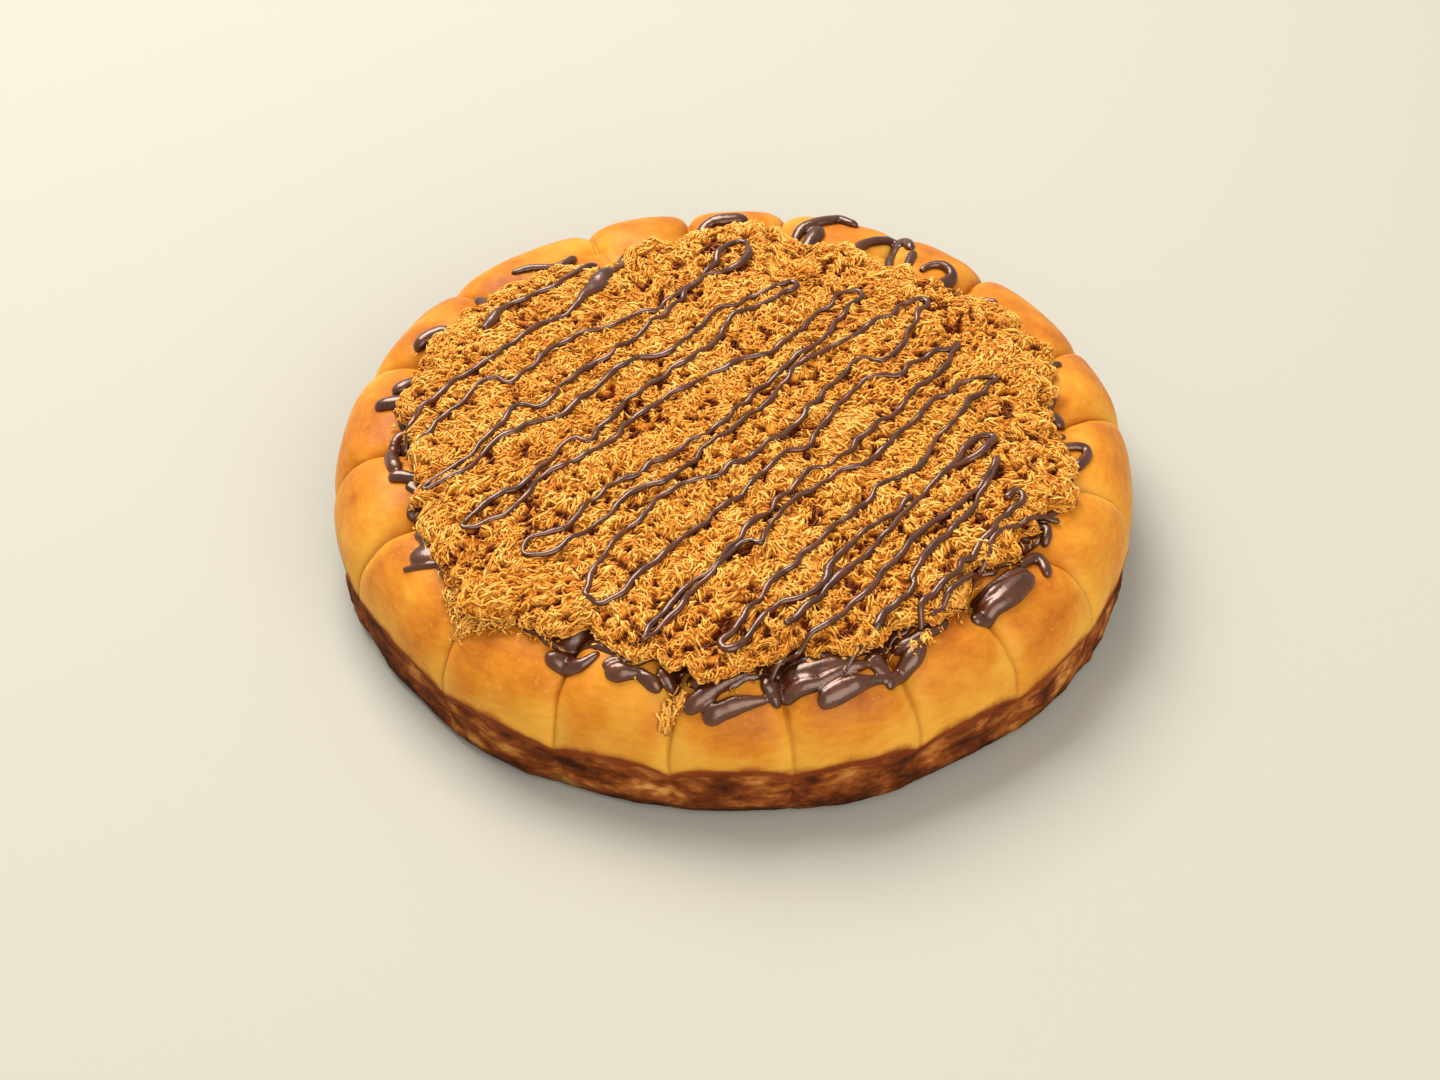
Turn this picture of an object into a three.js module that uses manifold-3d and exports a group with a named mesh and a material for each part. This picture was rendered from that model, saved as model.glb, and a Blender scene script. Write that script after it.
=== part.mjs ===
// Chocolate hazelnut honeycomb bun: a round pull-apart loaf of small rolls with a ring of
// domed lobes, a chocolate hazelnut spread that runs out over the lobes in fingers, a heap
// of fine golden shreds on top and a zig-zag of the same chocolate over the shreds.
// Millimetres, +Z up. The origin is the middle of the flat underside.
import * as THREE from 'three';
import { mergeVertices } from 'three/addons/utils/BufferGeometryUtils.js';
import Module from 'manifold-3d';

const wasm = await Module();
wasm.setup();

// The loaf, baked in a round tin.
const OUTER_RADIUS = 120;
const CREST_RADIUS = 97;
const SHOULDER_HEIGHT = 21;
const DOME_HEIGHT = 22;
const DOME_ROUNDNESS = 2.1;
const UNDERSIDE_RADIUS = 113.5;

// How much the lobes differ: an outer radius and a crest height that swing by these amounts
// from one lobe to the next.
const RADIUS_SWING = 0.7;
const HEIGHT_SWING = 0.8;

// The creases between neighbouring lobes. They are broad over the crest and narrow to a
// fine line at the shoulder.
const SHOULDER_NOTCH = 3.5;
const SHOULDER_DIP = 4;
const CREASE_DEPTH = 9;
const NOTCH_SHARPNESS = 5;
const CREST_SHARPNESS = 2.2;
const SHOULDER_SHARPNESS = 4.7;

// Where each crease meets the shoulder, in degrees anticlockwise from +X, and how far it has
// turned by the time that it reaches the crest.
const CREASES = [
  [8.4, -6.5], [24.6, -6], [46.9, -4], [62, -2], [81.2, 0.5], [97, 1.5], [114.3, 1],
  [140.4, 0.5], [162.1, -0.5], [184.9, 0.5], [203.6, 0.5], [226.4, 0], [245.1, -0.8],
  [261.1, 0.4], [277.7, -1.8], [295.5, -2.4], [311.8, -1.3], [329.6, -2], [348.2, -3.2],
];
const COLUMNS_ACROSS_LOBE = [-1, -0.93, -0.5, 0.5, 0.93];

// The wall from the underside up: inset from the lobe's outermost line, and height as a
// share of the shoulder's.
const WALL_PROFILE = [[3.2, 0.05], [2, 0.22], [1.4, 0.55], [1.5, 0.84], [0.2, 0.96]];
const DOME_ANGLES = [8, 26, 44, 62, 80];

// The rolls inside the ring of lobes, as rings of equal domes: how many, how far from the
// middle, and how wide.
const INNER_ROLLS = [[12, 64, 18], [6, 32, 17], [1, 0, 17]];
const INNER_FLOOR = 40;
const INNER_DOME = 2.4;
const INNER_RINGS = [CREST_RADIUS, 88, 78, 52, 26];
const LOBE_INNER_DROP = 4;
const LOBE_INNER_REACH = 17;

// The clearance that neighbouring pieces keep. Over the loaf it is measured straight up, so
// it is larger there, for the steep sides of the creases.
const GAP = 0.3;
const GAP_OVER_LOAF = 0.6;

// The spread: a sheet over the rolls that drapes on the lobes, and its fingers. The sheet is
// modelled down to a root level inside the loaf, and the loaf is then cut out of it.
const SHEET_TOP = 43.8;
const SHEET_DRAPE = 1.3;
const SHEET_EDGE_INSET = 3;
const SHEET_ROOT = 32;
const SHEET_RINGS = [84, 30];
const FINGER_FLATNESS = 0.72;
const FINGER_LIFT = 0.35;
const FINGER_SIDES = 5;
const FINGER_STEP = 9;

// Each finger's width, then its path in plan from under the shreds outwards.
const FINGERS = [
  [6.2, [-38, -90], [-40, -98], [-50, -95]],
  [5.6, [-21, -96], [-25, -104], [-36, -103]],
  [4.6, [-22, -98], [-24, -106], [-20, -109]],
  [4.8, [6, -97], [-4, -107], [-15, -111]],
  [6, [14, -99], [3, -111], [-7, -114]],
  [4.8, [36, -91], [27, -102], [13, -108]],
  [5.2, [42, -88], [32, -103], [21, -108], [11, -111]],
  [7.6, [47, -84], [45, -98], [33, -106], [22, -112]],
  [5, [52, -82], [47, -96], [44, -104]],
  [6, [60, -70], [72, -69], [82, -64], [83, -69], [74, -76], [66, -82]],
  [4, [77, -48], [86, -58], [87, -64]],
  [4, [80, -46], [87, -46], [87, -53]],
  [4.2, [80, -40], [88, -38], [97, -35]],
  [4, [90, -14], [100, -10], [103, -13], [98, -19]],
  [4, [88, 6], [95, 4], [98, -1]],
  [4, [84, -4], [97, -5]],
  [5.6, [82, 36], [94, 38], [99, 32]],
  [4.4, [72, 42], [80, 49]],
  [4.4, [66, 51], [78, 60]],
  [4.4, [52, 60], [65, 74], [69, 70], [62, 62]],
  [4.8, [32, 74], [42, 89], [49, 93], [54, 88], [54, 74]],
  [4.4, [35, 72], [43, 82], [54, 76]],
  [5, [16, 82], [22, 93], [30, 103], [38, 102]],
  [7, [18, 80], [30, 94]],
  [4.4, [-10, 84], [-9, 97], [5, 100]],
  [4, [-5, 84], [5, 97]],
  [5, [-36, 73], [-33, 81], [-25, 84]],
  [4, [-63, 60], [-66, 71], [-54, 77], [-49, 81]],
  [5.6, [-74, 52], [-79, 64]],
  [5, [-82, 38], [-92, 40], [-100, 35]],
  [5, [-88, 22], [-97, 19], [-104, 14]],
  [7.2, [-88, 12], [-99, 11], [-106, 7]],
  [4.4, [-90, -3], [-101, -6], [-100, -22]],
  [4.4, [-86, -25], [-99, -26]],
  [6, [-76, -54], [-86, -56], [-93, -59]],
];

// The heap of shreds: its edge's radius every 15 degrees anticlockwise from +X, and its
// skin from the edge inwards, as a share of that radius and a height.
const HEAP_EDGE = [
  94, 100, 96, 90, 86, 86, 92, 87, 86, 93, 97, 98,
  97, 97, 99, 105, 102, 103.5, 106, 103, 100.5, 97, 98, 101,
];
const HEAP_UNDERSIDE = 44.4;
const HEAP_SKIN = [
  [0.9, HEAP_UNDERSIDE], [1, 44], [0.98, 47.6], [0.92, 50.3], [0.78, 51.7], [0.55, 52.3],
  [0.28, 52.5],
];
const HEAP_COLUMNS = 44;
const HEAP_BUMP = 0.75;
const EDGE_BUMP = 1.6;

// Loose tufts of shreds that lie on the heap.
const TUFT_COUNT = 30;
const TUFT_SIZE = [4.6, 1.5, 1.4];
const TUFT_SINK = 0.4;

// The drizzle: runs of straight strokes between turning points in plan.
const DRIZZLE_RADIUS = 0.95;
const DRIZZLE_STEP = 15;
const DRIZZLE_SIDES = 4;
const DRIZZLE_LIFT = 0.6;
const WOBBLE = 1.3;
const WOBBLE_LENGTH = 48;
const DRIZZLE_RUNS = [
  [[-74, 34], [-37, 77], [-95, -14], [2, 77], [-52, 2], [-88, -34], [17, 56], [-76, -53],
    [37, 50], [2, -4], [-58, -63], [56, 46], [14, -16], [-22, -45], [-39, -83], [66, 28],
    [-24, -95], [76, 11], [-3, -101], [12, -85], [51, -43]],
  [[13, -93], [74, -18], [60, -31]],
  [[9, -107], [76, -26], [30, -102]],
  [[50, -89], [80, -42], [92, -44], [53, -86]],
];

const COLOURS = { bun: 0xd28f38, spread: 0x5a3426, floss: 0xd99a2b };

// A repeatable draw of numbers between 0 and 1.
function makeDraw(seed) {
  let state = seed;
  return () => {
    state = (state * 1664525 + 1013904223) % 4294967296;
    return state / 4294967296;
  };
}

// A closed body from rings of points, each anticlockwise seen from the last ring's side,
// shut by a fan of triangles round one point at either end.
function bodyFromRings(rings, firstPoint, lastPoint) {
  const count = rings[0].length;
  const points = [firstPoint, ...rings.flat(), lastPoint];
  const last = points.length - 1;
  const at = (ring, column) => 1 + ring * count + (column % count);
  const triangles = [];
  for (let column = 0; column < count; column += 1) {
    triangles.push(0, at(0, column + 1), at(0, column));
    for (let ring = 0; ring < rings.length - 1; ring += 1) {
      const low = at(ring, column);
      const lowNext = at(ring, column + 1);
      const high = at(ring + 1, column);
      const highNext = at(ring + 1, column + 1);
      triangles.push(low, lowNext, highNext, low, highNext, high);
    }
    triangles.push(last, at(rings.length - 1, column), at(rings.length - 1, column + 1));
  }
  const geometry = new THREE.BufferGeometry().setFromPoints(points);
  geometry.setIndex(triangles);
  return geometry;
}

function toSolid(geometry) {
  return new wasm.Manifold(new wasm.Mesh({
    numProp: 3,
    vertProperties: new Float32Array(geometry.attributes.position.array),
    triVerts: new Uint32Array(geometry.index.array),
  }));
}

function toGeometry(solid) {
  const mesh = solid.getMesh();
  const geometry = new THREE.BufferGeometry();
  geometry.setAttribute('position', new THREE.BufferAttribute(mesh.vertProperties, 3));
  geometry.setIndex(new THREE.BufferAttribute(mesh.triVerts, 1));
  return geometry;
}

function joined(solids) {
  return solids.reduce((whole, solid) => whole.add(solid));
}

// The largest connected body, without the scraps that a cut leaves.
function largestBody(solid) {
  return solid.decompose().reduce((best, body) => (body.volume() > best.volume() ? body : best));
}

function polar(radius, degrees, height) {
  const angle = THREE.MathUtils.degToRad(degrees);
  return new THREE.Vector3(radius * Math.cos(angle), radius * Math.sin(angle), height);
}

const wrapDegrees = (degrees) => ((degrees % 360) + 360) % 360;

// The azimuth of a crease at a radius: it turns evenly from the shoulder to the crest.
function creaseAzimuth(lobe, radius) {
  const [azimuth, turn] = CREASES[lobe % CREASES.length];
  const inwards = (OUTER_RADIUS - radius) / (OUTER_RADIUS - CREST_RADIUS);
  return azimuth + turn * THREE.MathUtils.clamp(inwards, 0, 1);
}

// The azimuth of a place across a lobe, from -1 at one crease to 1 at the next.
function azimuthOf(lobe, across, radius) {
  const start = creaseAzimuth(lobe, radius);
  const width = wrapDegrees(creaseAzimuth(lobe + 1, radius) - start);
  return start + (width * (across + 1)) / 2;
}

// The lobe at an azimuth and a radius, and the place across it.
function lobeAt(radius, azimuth) {
  for (let lobe = 0; lobe < CREASES.length; lobe += 1) {
    const start = creaseAzimuth(lobe, radius);
    const width = wrapDegrees(creaseAzimuth(lobe + 1, radius) - start);
    const along = wrapDegrees(azimuth - start);
    if (along < width) return { lobe, across: (2 * along) / width - 1 };
  }
  return { lobe: 0, across: -1 };
}

// How far down a crease is, from 0 over most of the lobe to 1 at its edge.
function creaseShape(across, sharpness) {
  return 1 - (1 - Math.min(1, Math.abs(across)) ** sharpness) ** (1 / sharpness);
}

// A lobe's outer radius, crest height and shoulder height at a place across it. What is the
// lobe's own fades out towards its creases, which it shares with its neighbours.
function lobeSizes(lobe, across) {
  const own = 1 - across ** 4;
  const outer = OUTER_RADIUS + RADIUS_SWING * Math.sin(2.4 * lobe) * own
    - SHOULDER_NOTCH * creaseShape(across, NOTCH_SHARPNESS);
  const crest = SHOULDER_HEIGHT + DOME_HEIGHT + HEIGHT_SWING * Math.sin(3.7 * lobe + 1) * own;
  const shoulder = SHOULDER_HEIGHT - SHOULDER_DIP * across ** 4;
  return { outer, crest, shoulder };
}

// The height of a lobe's dome, from 0 at the crest to 1 at the shoulder.
function domeHeight(lobe, across, outwards) {
  const { crest, shoulder } = lobeSizes(lobe, across);
  const rise = (1 - outwards ** DOME_ROUNDNESS) ** (1 / DOME_ROUNDNESS);
  const sharpness = THREE.MathUtils.lerp(CREST_SHARPNESS, SHOULDER_SHARPNESS, outwards);
  const crease = CREASE_DEPTH * Math.sqrt(1 - outwards ** 2) * creaseShape(across, sharpness);
  return shoulder + (crest - shoulder) * rise - crease;
}

// The height of the rolls inside the ring of lobes.
function innerHeight(x, y) {
  let height = INNER_FLOOR;
  for (const [count, distance, width] of INNER_ROLLS) {
    for (let roll = 0; roll < count; roll += 1) {
      const middle = polar(distance, (360 * roll) / count, 0);
      const away = Math.hypot(x - middle.x, y - middle.y) / width;
      const dome = INNER_DOME * Math.sqrt(Math.max(0, 1 - away ** 2));
      height = Math.max(height, INNER_FLOOR + dome);
    }
  }
  return height;
}

// The height of the loaf's top at a place in plan.
function loafTop(x, y) {
  const radius = Math.hypot(x, y);
  const azimuth = THREE.MathUtils.radToDeg(Math.atan2(y, x));
  const { lobe, across } = lobeAt(radius, azimuth);
  if (radius < CREST_RADIUS) {
    const inwards = (CREST_RADIUS - radius) / LOBE_INNER_REACH;
    const lobeTop = domeHeight(lobe, across, 0) - LOBE_INNER_DROP * inwards ** 2;
    return Math.max(lobeTop, innerHeight(x, y));
  }
  const { outer } = lobeSizes(lobe, across);
  const outwards = Math.min(1, (radius - CREST_RADIUS) / (outer - CREST_RADIUS));
  return domeHeight(lobe, across, outwards);
}

// One ring of the loaf: the same place on every lobe, by a rule that gives each column's
// radius and height.
function loafRing(placeOf) {
  return CREASES.flatMap((_, lobe) => COLUMNS_ACROSS_LOBE.map((across) => {
    const { radius, height } = placeOf(lobe, across);
    return polar(radius, azimuthOf(lobe, across, radius), height);
  }));
}

// The loaf's skin, or the same skin a clearance further up and out.
function loafGeometry(clearance) {
  const foot = loafRing((lobe, across) => ({
    radius: UNDERSIDE_RADIUS - (SHOULDER_NOTCH / 2) * creaseShape(across, NOTCH_SHARPNESS)
      + clearance,
    height: 0,
  }));
  const wall = WALL_PROFILE.map(([inset, share]) => loafRing((lobe, across) => {
    const { outer, shoulder } = lobeSizes(lobe, across);
    return { radius: outer - inset + clearance, height: shoulder * share + clearance };
  }));
  const dome = DOME_ANGLES.map((angle) => loafRing((lobe, across) => {
    const outwards = Math.cos(THREE.MathUtils.degToRad(angle));
    const { outer } = lobeSizes(lobe, across);
    const radius = CREST_RADIUS + outwards * (outer - CREST_RADIUS);
    return { radius, height: domeHeight(lobe, across, outwards) + clearance };
  }));
  const inner = INNER_RINGS.map((radius) => loafRing((lobe, across) => {
    const place = polar(radius, azimuthOf(lobe, across, radius), 0);
    return { radius, height: loafTop(place.x, place.y) + clearance };
  }));
  const rings = [foot, ...wall, ...dome, ...inner];
  const middleTop = new THREE.Vector3(0, 0, loafTop(0, 0) + clearance);
  return bodyFromRings(rings, new THREE.Vector3(), middleTop);
}

// The radius of the heap's edge at an azimuth, eased between the listed ones.
function heapEdge(degrees) {
  const place = (wrapDegrees(degrees) / 360) * HEAP_EDGE.length;
  const start = Math.floor(place);
  const eased = THREE.MathUtils.smoothstep(place - start, 0, 1);
  const next = HEAP_EDGE[(start + 1) % HEAP_EDGE.length];
  return THREE.MathUtils.lerp(HEAP_EDGE[start % HEAP_EDGE.length], next, eased);
}

// The sheet of spread: level over the inner rolls, draped over the lobes at its edge.
function sheetGeometry(clearance) {
  const columns = CREASES.length * 3;
  const azimuths = Array.from({ length: columns }, (_, column) => (360 * column) / columns);
  const edgeOf = (azimuth) => heapEdge(azimuth) - SHEET_EDGE_INSET + clearance;
  const draped = (radius, azimuth) => {
    const place = polar(radius, azimuth, 0);
    return loafTop(place.x, place.y) + SHEET_DRAPE + clearance;
  };
  const levels = SHEET_RINGS.map((radius) => azimuths.map(
    (azimuth) => polar(radius, azimuth, SHEET_TOP + clearance),
  ));
  const crest = azimuths.map((azimuth) => {
    const radius = (edgeOf(azimuth) + SHEET_RINGS[0]) / 2;
    return polar(radius, azimuth, Math.max(SHEET_TOP + clearance, draped(radius, azimuth)));
  });
  const lip = azimuths.map(
    (azimuth) => polar(edgeOf(azimuth) - 1, azimuth, draped(edgeOf(azimuth) - 1, azimuth)),
  );
  const under = azimuths.map((azimuth) => polar(edgeOf(azimuth), azimuth, SHEET_ROOT));
  const rings = [under, lip, crest, ...levels];
  const middle = new THREE.Vector3(0, 0, SHEET_TOP + clearance);
  return bodyFromRings(rings, new THREE.Vector3(0, 0, SHEET_ROOT), middle);
}

// A round-ended rope along a path in plan, laid on a surface and a little flattened.
function ropeGeometry(path, { radius, flatness, lift, sides, step, heightAt }) {
  const curve = new THREE.CatmullRomCurve3(path.map(([x, y]) => new THREE.Vector3(x, y, 0)));
  const length = curve.getLength();
  const count = Math.max(4, Math.round(length / step));
  const endInset = radius * 0.12;
  const centreAt = (distance) => {
    const place = curve.getPointAt(THREE.MathUtils.clamp(distance / length, 0, 1));
    return place.setZ(heightAt(place.x, place.y) + radius * lift);
  };
  const rings = Array.from({ length: count + 1 }, (_, index) => {
    const distance = endInset + ((length - 2 * endInset) * index) / count;
    const toEnd = Math.min(distance, length - distance, radius);
    const size = radius * Math.sqrt(1 - ((radius - toEnd) / radius) ** 2);
    const centre = centreAt(distance);
    const along = curve.getTangentAt(distance / length);
    const side = new THREE.Vector3(-along.y, along.x, 0).normalize();
    return Array.from({ length: sides }, (_unused, corner) => {
      const angle = (2 * Math.PI * (corner + 0.5)) / sides - Math.PI / 2;
      return centre.clone()
        .addScaledVector(side, size * Math.cos(angle))
        .add(new THREE.Vector3(0, 0, size * flatness * Math.sin(angle)));
    });
  });
  return bodyFromRings(rings, centreAt(0), centreAt(length));
}

function spreadSolid(clearance) {
  const fingers = FINGERS.map(([width, ...path]) => toSolid(ropeGeometry(path, {
    radius: width / 2 + clearance,
    flatness: FINGER_FLATNESS,
    lift: FINGER_LIFT,
    sides: FINGER_SIDES,
    step: FINGER_STEP,
    heightAt: loafTop,
  })));
  return joined([toSolid(sheetGeometry(clearance)), ...fingers]);
}

// Low bumps of the size of the tufts, by crossed waves of unlike lengths.
function bump(x, y) {
  return (Math.sin(x * 0.27 + 1.3 * Math.sin(y * 0.11))
    + Math.sin(y * 0.31 + 1.7 * Math.sin(x * 0.09 + 2))) / 2;
}

// The height of the heap's skin at a place in plan.
function heapTop(x, y) {
  const azimuth = THREE.MathUtils.radToDeg(Math.atan2(y, x));
  const share = Math.hypot(x, y) / heapEdge(azimuth);
  const skin = HEAP_SKIN.slice(1);
  const outside = skin.findLastIndex(([ringShare]) => ringShare >= share);
  const [outerShare, outerHeight] = skin[Math.max(0, outside)];
  const [innerShare, innerHeightThere] = skin[outside + 1] ?? [0, skin.at(-1)[1]];
  const mix = THREE.MathUtils.clamp((outerShare - share) / (outerShare - innerShare), 0, 1);
  const height = THREE.MathUtils.lerp(outerHeight, innerHeightThere, mix);
  return height + HEAP_BUMP * bump(x, y);
}

function heapGeometry() {
  const draw = makeDraw(7);
  const azimuths = Array.from({ length: HEAP_COLUMNS }, (_, column) => (360 * column) / HEAP_COLUMNS);
  const ragged = azimuths.map(() => EDGE_BUMP * (draw() - 0.5));
  const rings = HEAP_SKIN.map(([share, height], index) => azimuths.map((azimuth, column) => {
    const turned = azimuth + (index % 2) * (180 / HEAP_COLUMNS);
    const radius = share * (heapEdge(turned) + ragged[column] * share ** 6);
    const place = polar(radius, turned, height);
    if (index > 0) place.z += HEAP_BUMP * bump(place.x, place.y);
    return place;
  }));
  const middleTop = new THREE.Vector3(0, 0, heapTop(0, 0));
  return bodyFromRings(rings, new THREE.Vector3(0, 0, HEAP_SKIN[0][1]), middleTop);
}

// Loose tufts, spread evenly over the heap by the golden angle.
function tuftSolids() {
  const draw = makeDraw(11);
  return Array.from({ length: TUFT_COUNT }, (_, index) => {
    const azimuth = index * 137.508;
    const share = 0.97 * Math.sqrt((index + 0.5) / TUFT_COUNT);
    const place = polar(share * heapEdge(azimuth), azimuth, 0);
    const geometry = new THREE.OctahedronGeometry(1);
    geometry.deleteAttribute('normal');
    geometry.deleteAttribute('uv');
    geometry.scale(...TUFT_SIZE);
    geometry.rotateY(0.5 * (draw() - 0.5));
    geometry.rotateZ(Math.PI * draw());
    geometry.translate(place.x, place.y, heapTop(place.x, place.y) - TUFT_SINK);
    return toSolid(mergeVertices(geometry));
  });
}

// A stroke of the drizzle between two turning points, with a slow wobble.
function wobblyPath([startX, startY], [endX, endY], number) {
  const length = Math.hypot(endX - startX, endY - startY);
  const count = Math.max(2, Math.round(length / DRIZZLE_STEP));
  const acrossX = -(endY - startY) / length;
  const acrossY = (endX - startX) / length;
  return Array.from({ length: count + 1 }, (_, index) => {
    const share = index / count;
    const wave = (2 * Math.PI * share * length) / WOBBLE_LENGTH + 2.1 * number;
    const offset = WOBBLE * Math.sin(wave) * Math.sin(Math.PI * share);
    return [
      THREE.MathUtils.lerp(startX, endX, share) + acrossX * offset,
      THREE.MathUtils.lerp(startY, endY, share) + acrossY * offset,
    ];
  });
}

function drizzleSolids() {
  return DRIZZLE_RUNS.flatMap((run) => run.slice(1).map((end, index) => toSolid(
    ropeGeometry(wobblyPath(run[index], end, index), {
      radius: DRIZZLE_RADIUS,
      flatness: 1,
      lift: DRIZZLE_LIFT,
      sides: DRIZZLE_SIDES,
      step: DRIZZLE_STEP,
      heightAt: heapTop,
    }),
  )));
}

function named(name, geometry, roughness) {
  const material = new THREE.MeshStandardMaterial({
    color: COLOURS[name],
    roughness,
    metalness: 0,
  });
  const mesh = new THREE.Mesh(geometry, material);
  mesh.name = name;
  return mesh;
}

const loaf = loafGeometry(0);
const clearOfLoaf = toSolid(loafGeometry(GAP_OVER_LOAF));
const spread = largestBody(spreadSolid(0).subtract(clearOfLoaf));
const heap = joined([toSolid(heapGeometry()), ...tuftSolids(), ...drizzleSolids()]);
const floss = largestBody(heap.subtract(clearOfLoaf).subtract(spreadSolid(GAP)));

const honeycombBun = new THREE.Group();
honeycombBun.name = 'honeycomb_bun';
honeycombBun.add(
  named('bun', loaf, 0.6),
  named('spread', toGeometry(spread), 0.25),
  named('floss', toGeometry(floss), 0.85),
);

export default honeycombBun;
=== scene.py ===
"""Chocolate hazelnut honeycomb bun, dressed and lit in a plain studio.

A round pull-apart loaf with a ring of domed golden lobes, a chocolate hazelnut spread that
runs out over the lobes in fingers, a heap of fine golden shreds, and a drizzle of the same
chocolate over the shreds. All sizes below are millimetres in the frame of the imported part:
the origin is the middle of the underside, +Z is up, and -Y is the side that is seen.
"""

import itertools
import logging
from dataclasses import dataclass, field
from enum import Enum

import bpy
import numpy as np
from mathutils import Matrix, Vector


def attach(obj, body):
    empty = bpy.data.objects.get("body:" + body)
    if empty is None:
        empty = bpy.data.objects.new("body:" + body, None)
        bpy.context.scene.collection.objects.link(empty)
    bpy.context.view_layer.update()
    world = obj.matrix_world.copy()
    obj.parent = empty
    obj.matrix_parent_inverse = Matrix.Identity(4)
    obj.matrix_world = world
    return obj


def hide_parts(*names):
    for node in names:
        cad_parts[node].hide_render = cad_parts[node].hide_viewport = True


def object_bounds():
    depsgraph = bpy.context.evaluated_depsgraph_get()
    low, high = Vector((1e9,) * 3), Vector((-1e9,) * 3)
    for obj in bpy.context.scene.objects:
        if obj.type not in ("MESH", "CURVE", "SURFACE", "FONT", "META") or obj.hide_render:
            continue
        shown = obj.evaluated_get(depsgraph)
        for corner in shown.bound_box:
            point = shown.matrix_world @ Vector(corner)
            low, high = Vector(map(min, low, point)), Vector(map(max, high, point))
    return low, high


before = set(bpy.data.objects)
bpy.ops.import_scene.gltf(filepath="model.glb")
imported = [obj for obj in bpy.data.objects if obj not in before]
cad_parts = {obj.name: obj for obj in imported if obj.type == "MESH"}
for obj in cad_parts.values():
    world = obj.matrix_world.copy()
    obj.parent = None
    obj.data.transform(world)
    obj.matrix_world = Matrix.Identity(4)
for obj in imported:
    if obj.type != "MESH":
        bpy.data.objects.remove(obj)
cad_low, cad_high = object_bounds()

Array = np.ndarray
Socket = bpy.types.NodeSocket
Piece = bpy.types.Object
Pair = tuple[float, float]
Triple = tuple[float, float, float]
Colour = tuple[int, int, int]
Stops = tuple[tuple[float, Colour], ...]
Layers = tuple[Triple, ...]

log = logging.getLogger("bun")

MM = 0.001
# Added to a length before dividing by it, since it may be 0.
TINY = 1e-9
CURVE_POINTS = 40
FEWEST_STEPS = 4
NOISE_SEED = 20
NOISE_CELLS = 64
NOISE_NUMBERS = np.random.default_rng(NOISE_SEED).uniform(-1, 1, (NOISE_CELLS,) * 3)


# Whole-array helpers.


def eased(share: Array) -> Array:
    """Returns 3t^2 - 2t^3 for a share t from 0 to 1."""
    return share * share * (3 - 2 * share)


def ease_between(value: Array, low: float, high: float) -> Array:
    """Returns 0 below one limit and 1 above the other, eased between them."""
    return eased(np.clip((value - low) / (high - low), 0, 1))


def smooth_noise(points: Array, size: float, shift: float = 0.0) -> Array:
    """Returns smooth noise, about -1 to 1, whose lumps are as wide as a size.

    Each whole-number corner of space holds a random number, and a point blends those of its
    eight corners by the ease along each axis.

    Args:
        points: Places, with x, y and z along the last axis.
        size: The width of a lump, in the unit of the points.
        shift: Moves the pattern, so that two uses differ.

    Returns:
        One number for each place.
    """
    cells = points / size + shift
    low = np.floor(cells).astype(int)
    ease = eased(cells - low)
    total = np.zeros(points.shape[:-1])
    for corner in itertools.product((0, 1), repeat=3):
        x, y, z = np.moveaxis((low + corner) % NOISE_CELLS, -1, 0)
        weight = np.prod(np.where(corner, ease, 1 - ease), axis=-1)
        total += weight * NOISE_NUMBERS[x, y, z]
    return total


def layered(points: Array, layers: Layers) -> Array:
    """Returns the sum of smooth noises at points, each given by its strength, size and shift."""
    return sum(strength * smooth_noise(points, size, shift) for strength, size, shift in layers)


def raised(plan: Array, height: Array | float = 0.0) -> Array:
    """Returns places in plan as points at a height."""
    return np.concatenate([plan, np.broadcast_to(height, plan.shape[:-1])[..., None]], axis=-1)


def around(radius: Array | float, degrees: Array | float, height: Array | float = 0.0) -> Array:
    """Returns points round the axis: radius cos(a), radius sin(a) and a height."""
    angle = np.radians(degrees)
    return raised(np.stack([radius * np.cos(angle), radius * np.sin(angle)], axis=-1), height)


def square_to(direction: Array) -> Array:
    """Returns directions in plan turned a quarter: (x, y) becomes (-y, x)."""
    return np.stack([-direction[..., 1], direction[..., 0]], axis=-1)


def unit(vectors: Array) -> Array:
    """Returns vectors at a length of 1."""
    return vectors / (np.linalg.norm(vectors, axis=-1, keepdims=True) + TINY)


def smoothed(values: Array, reach: int) -> Array:
    """Returns values along a path, each the mean of its neighbours in a bell of that reach."""
    bell = np.hanning(2 * reach + 3)[1:-1]
    padded = np.pad(values, reach, mode="edge")
    return np.convolve(padded, bell / bell.sum(), mode="valid")


def path_length(points: Array) -> Array:
    """Returns how far along a path each of its points is."""
    return np.concatenate([[0], np.cumsum(np.linalg.norm(np.diff(points, axis=0), axis=1))])


def smooth_path(corners: Array, step: float) -> Array:
    """Returns evenly spaced points of the Catmull-Rom curve through some corners.

    Between corners b and c, with a before and d after, the curve at t is
    (2b + (c - a)t + (2a - 5b + 4c - d)t^2 + (3b - a - 3c + d)t^3) / 2.

    Args:
        corners: The corners, one row each.
        step: The distance between neighbouring points.

    Returns:
        The points, one row each.
    """
    ends = [2 * corners[0] - corners[1], *corners, 2 * corners[-1] - corners[-2]]
    a, b, c, d = (np.array(ends[k : len(ends) - 3 + k])[:, None] for k in range(4))
    t = np.linspace(0, 1, CURVE_POINTS)[None, :, None]
    curve = (2 * b + (c - a) * t + (2 * a - 5 * b + 4 * c - d) * t**2 + (3 * b - a - 3 * c + d) * t**3) / 2
    dense = curve.reshape(-1, corners.shape[1])
    along = path_length(dense)
    places = np.linspace(0, along[-1], max(FEWEST_STEPS, int(along[-1] / step)) + 1)
    return np.stack([np.interp(places, along, column) for column in dense.T], axis=1)


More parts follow.
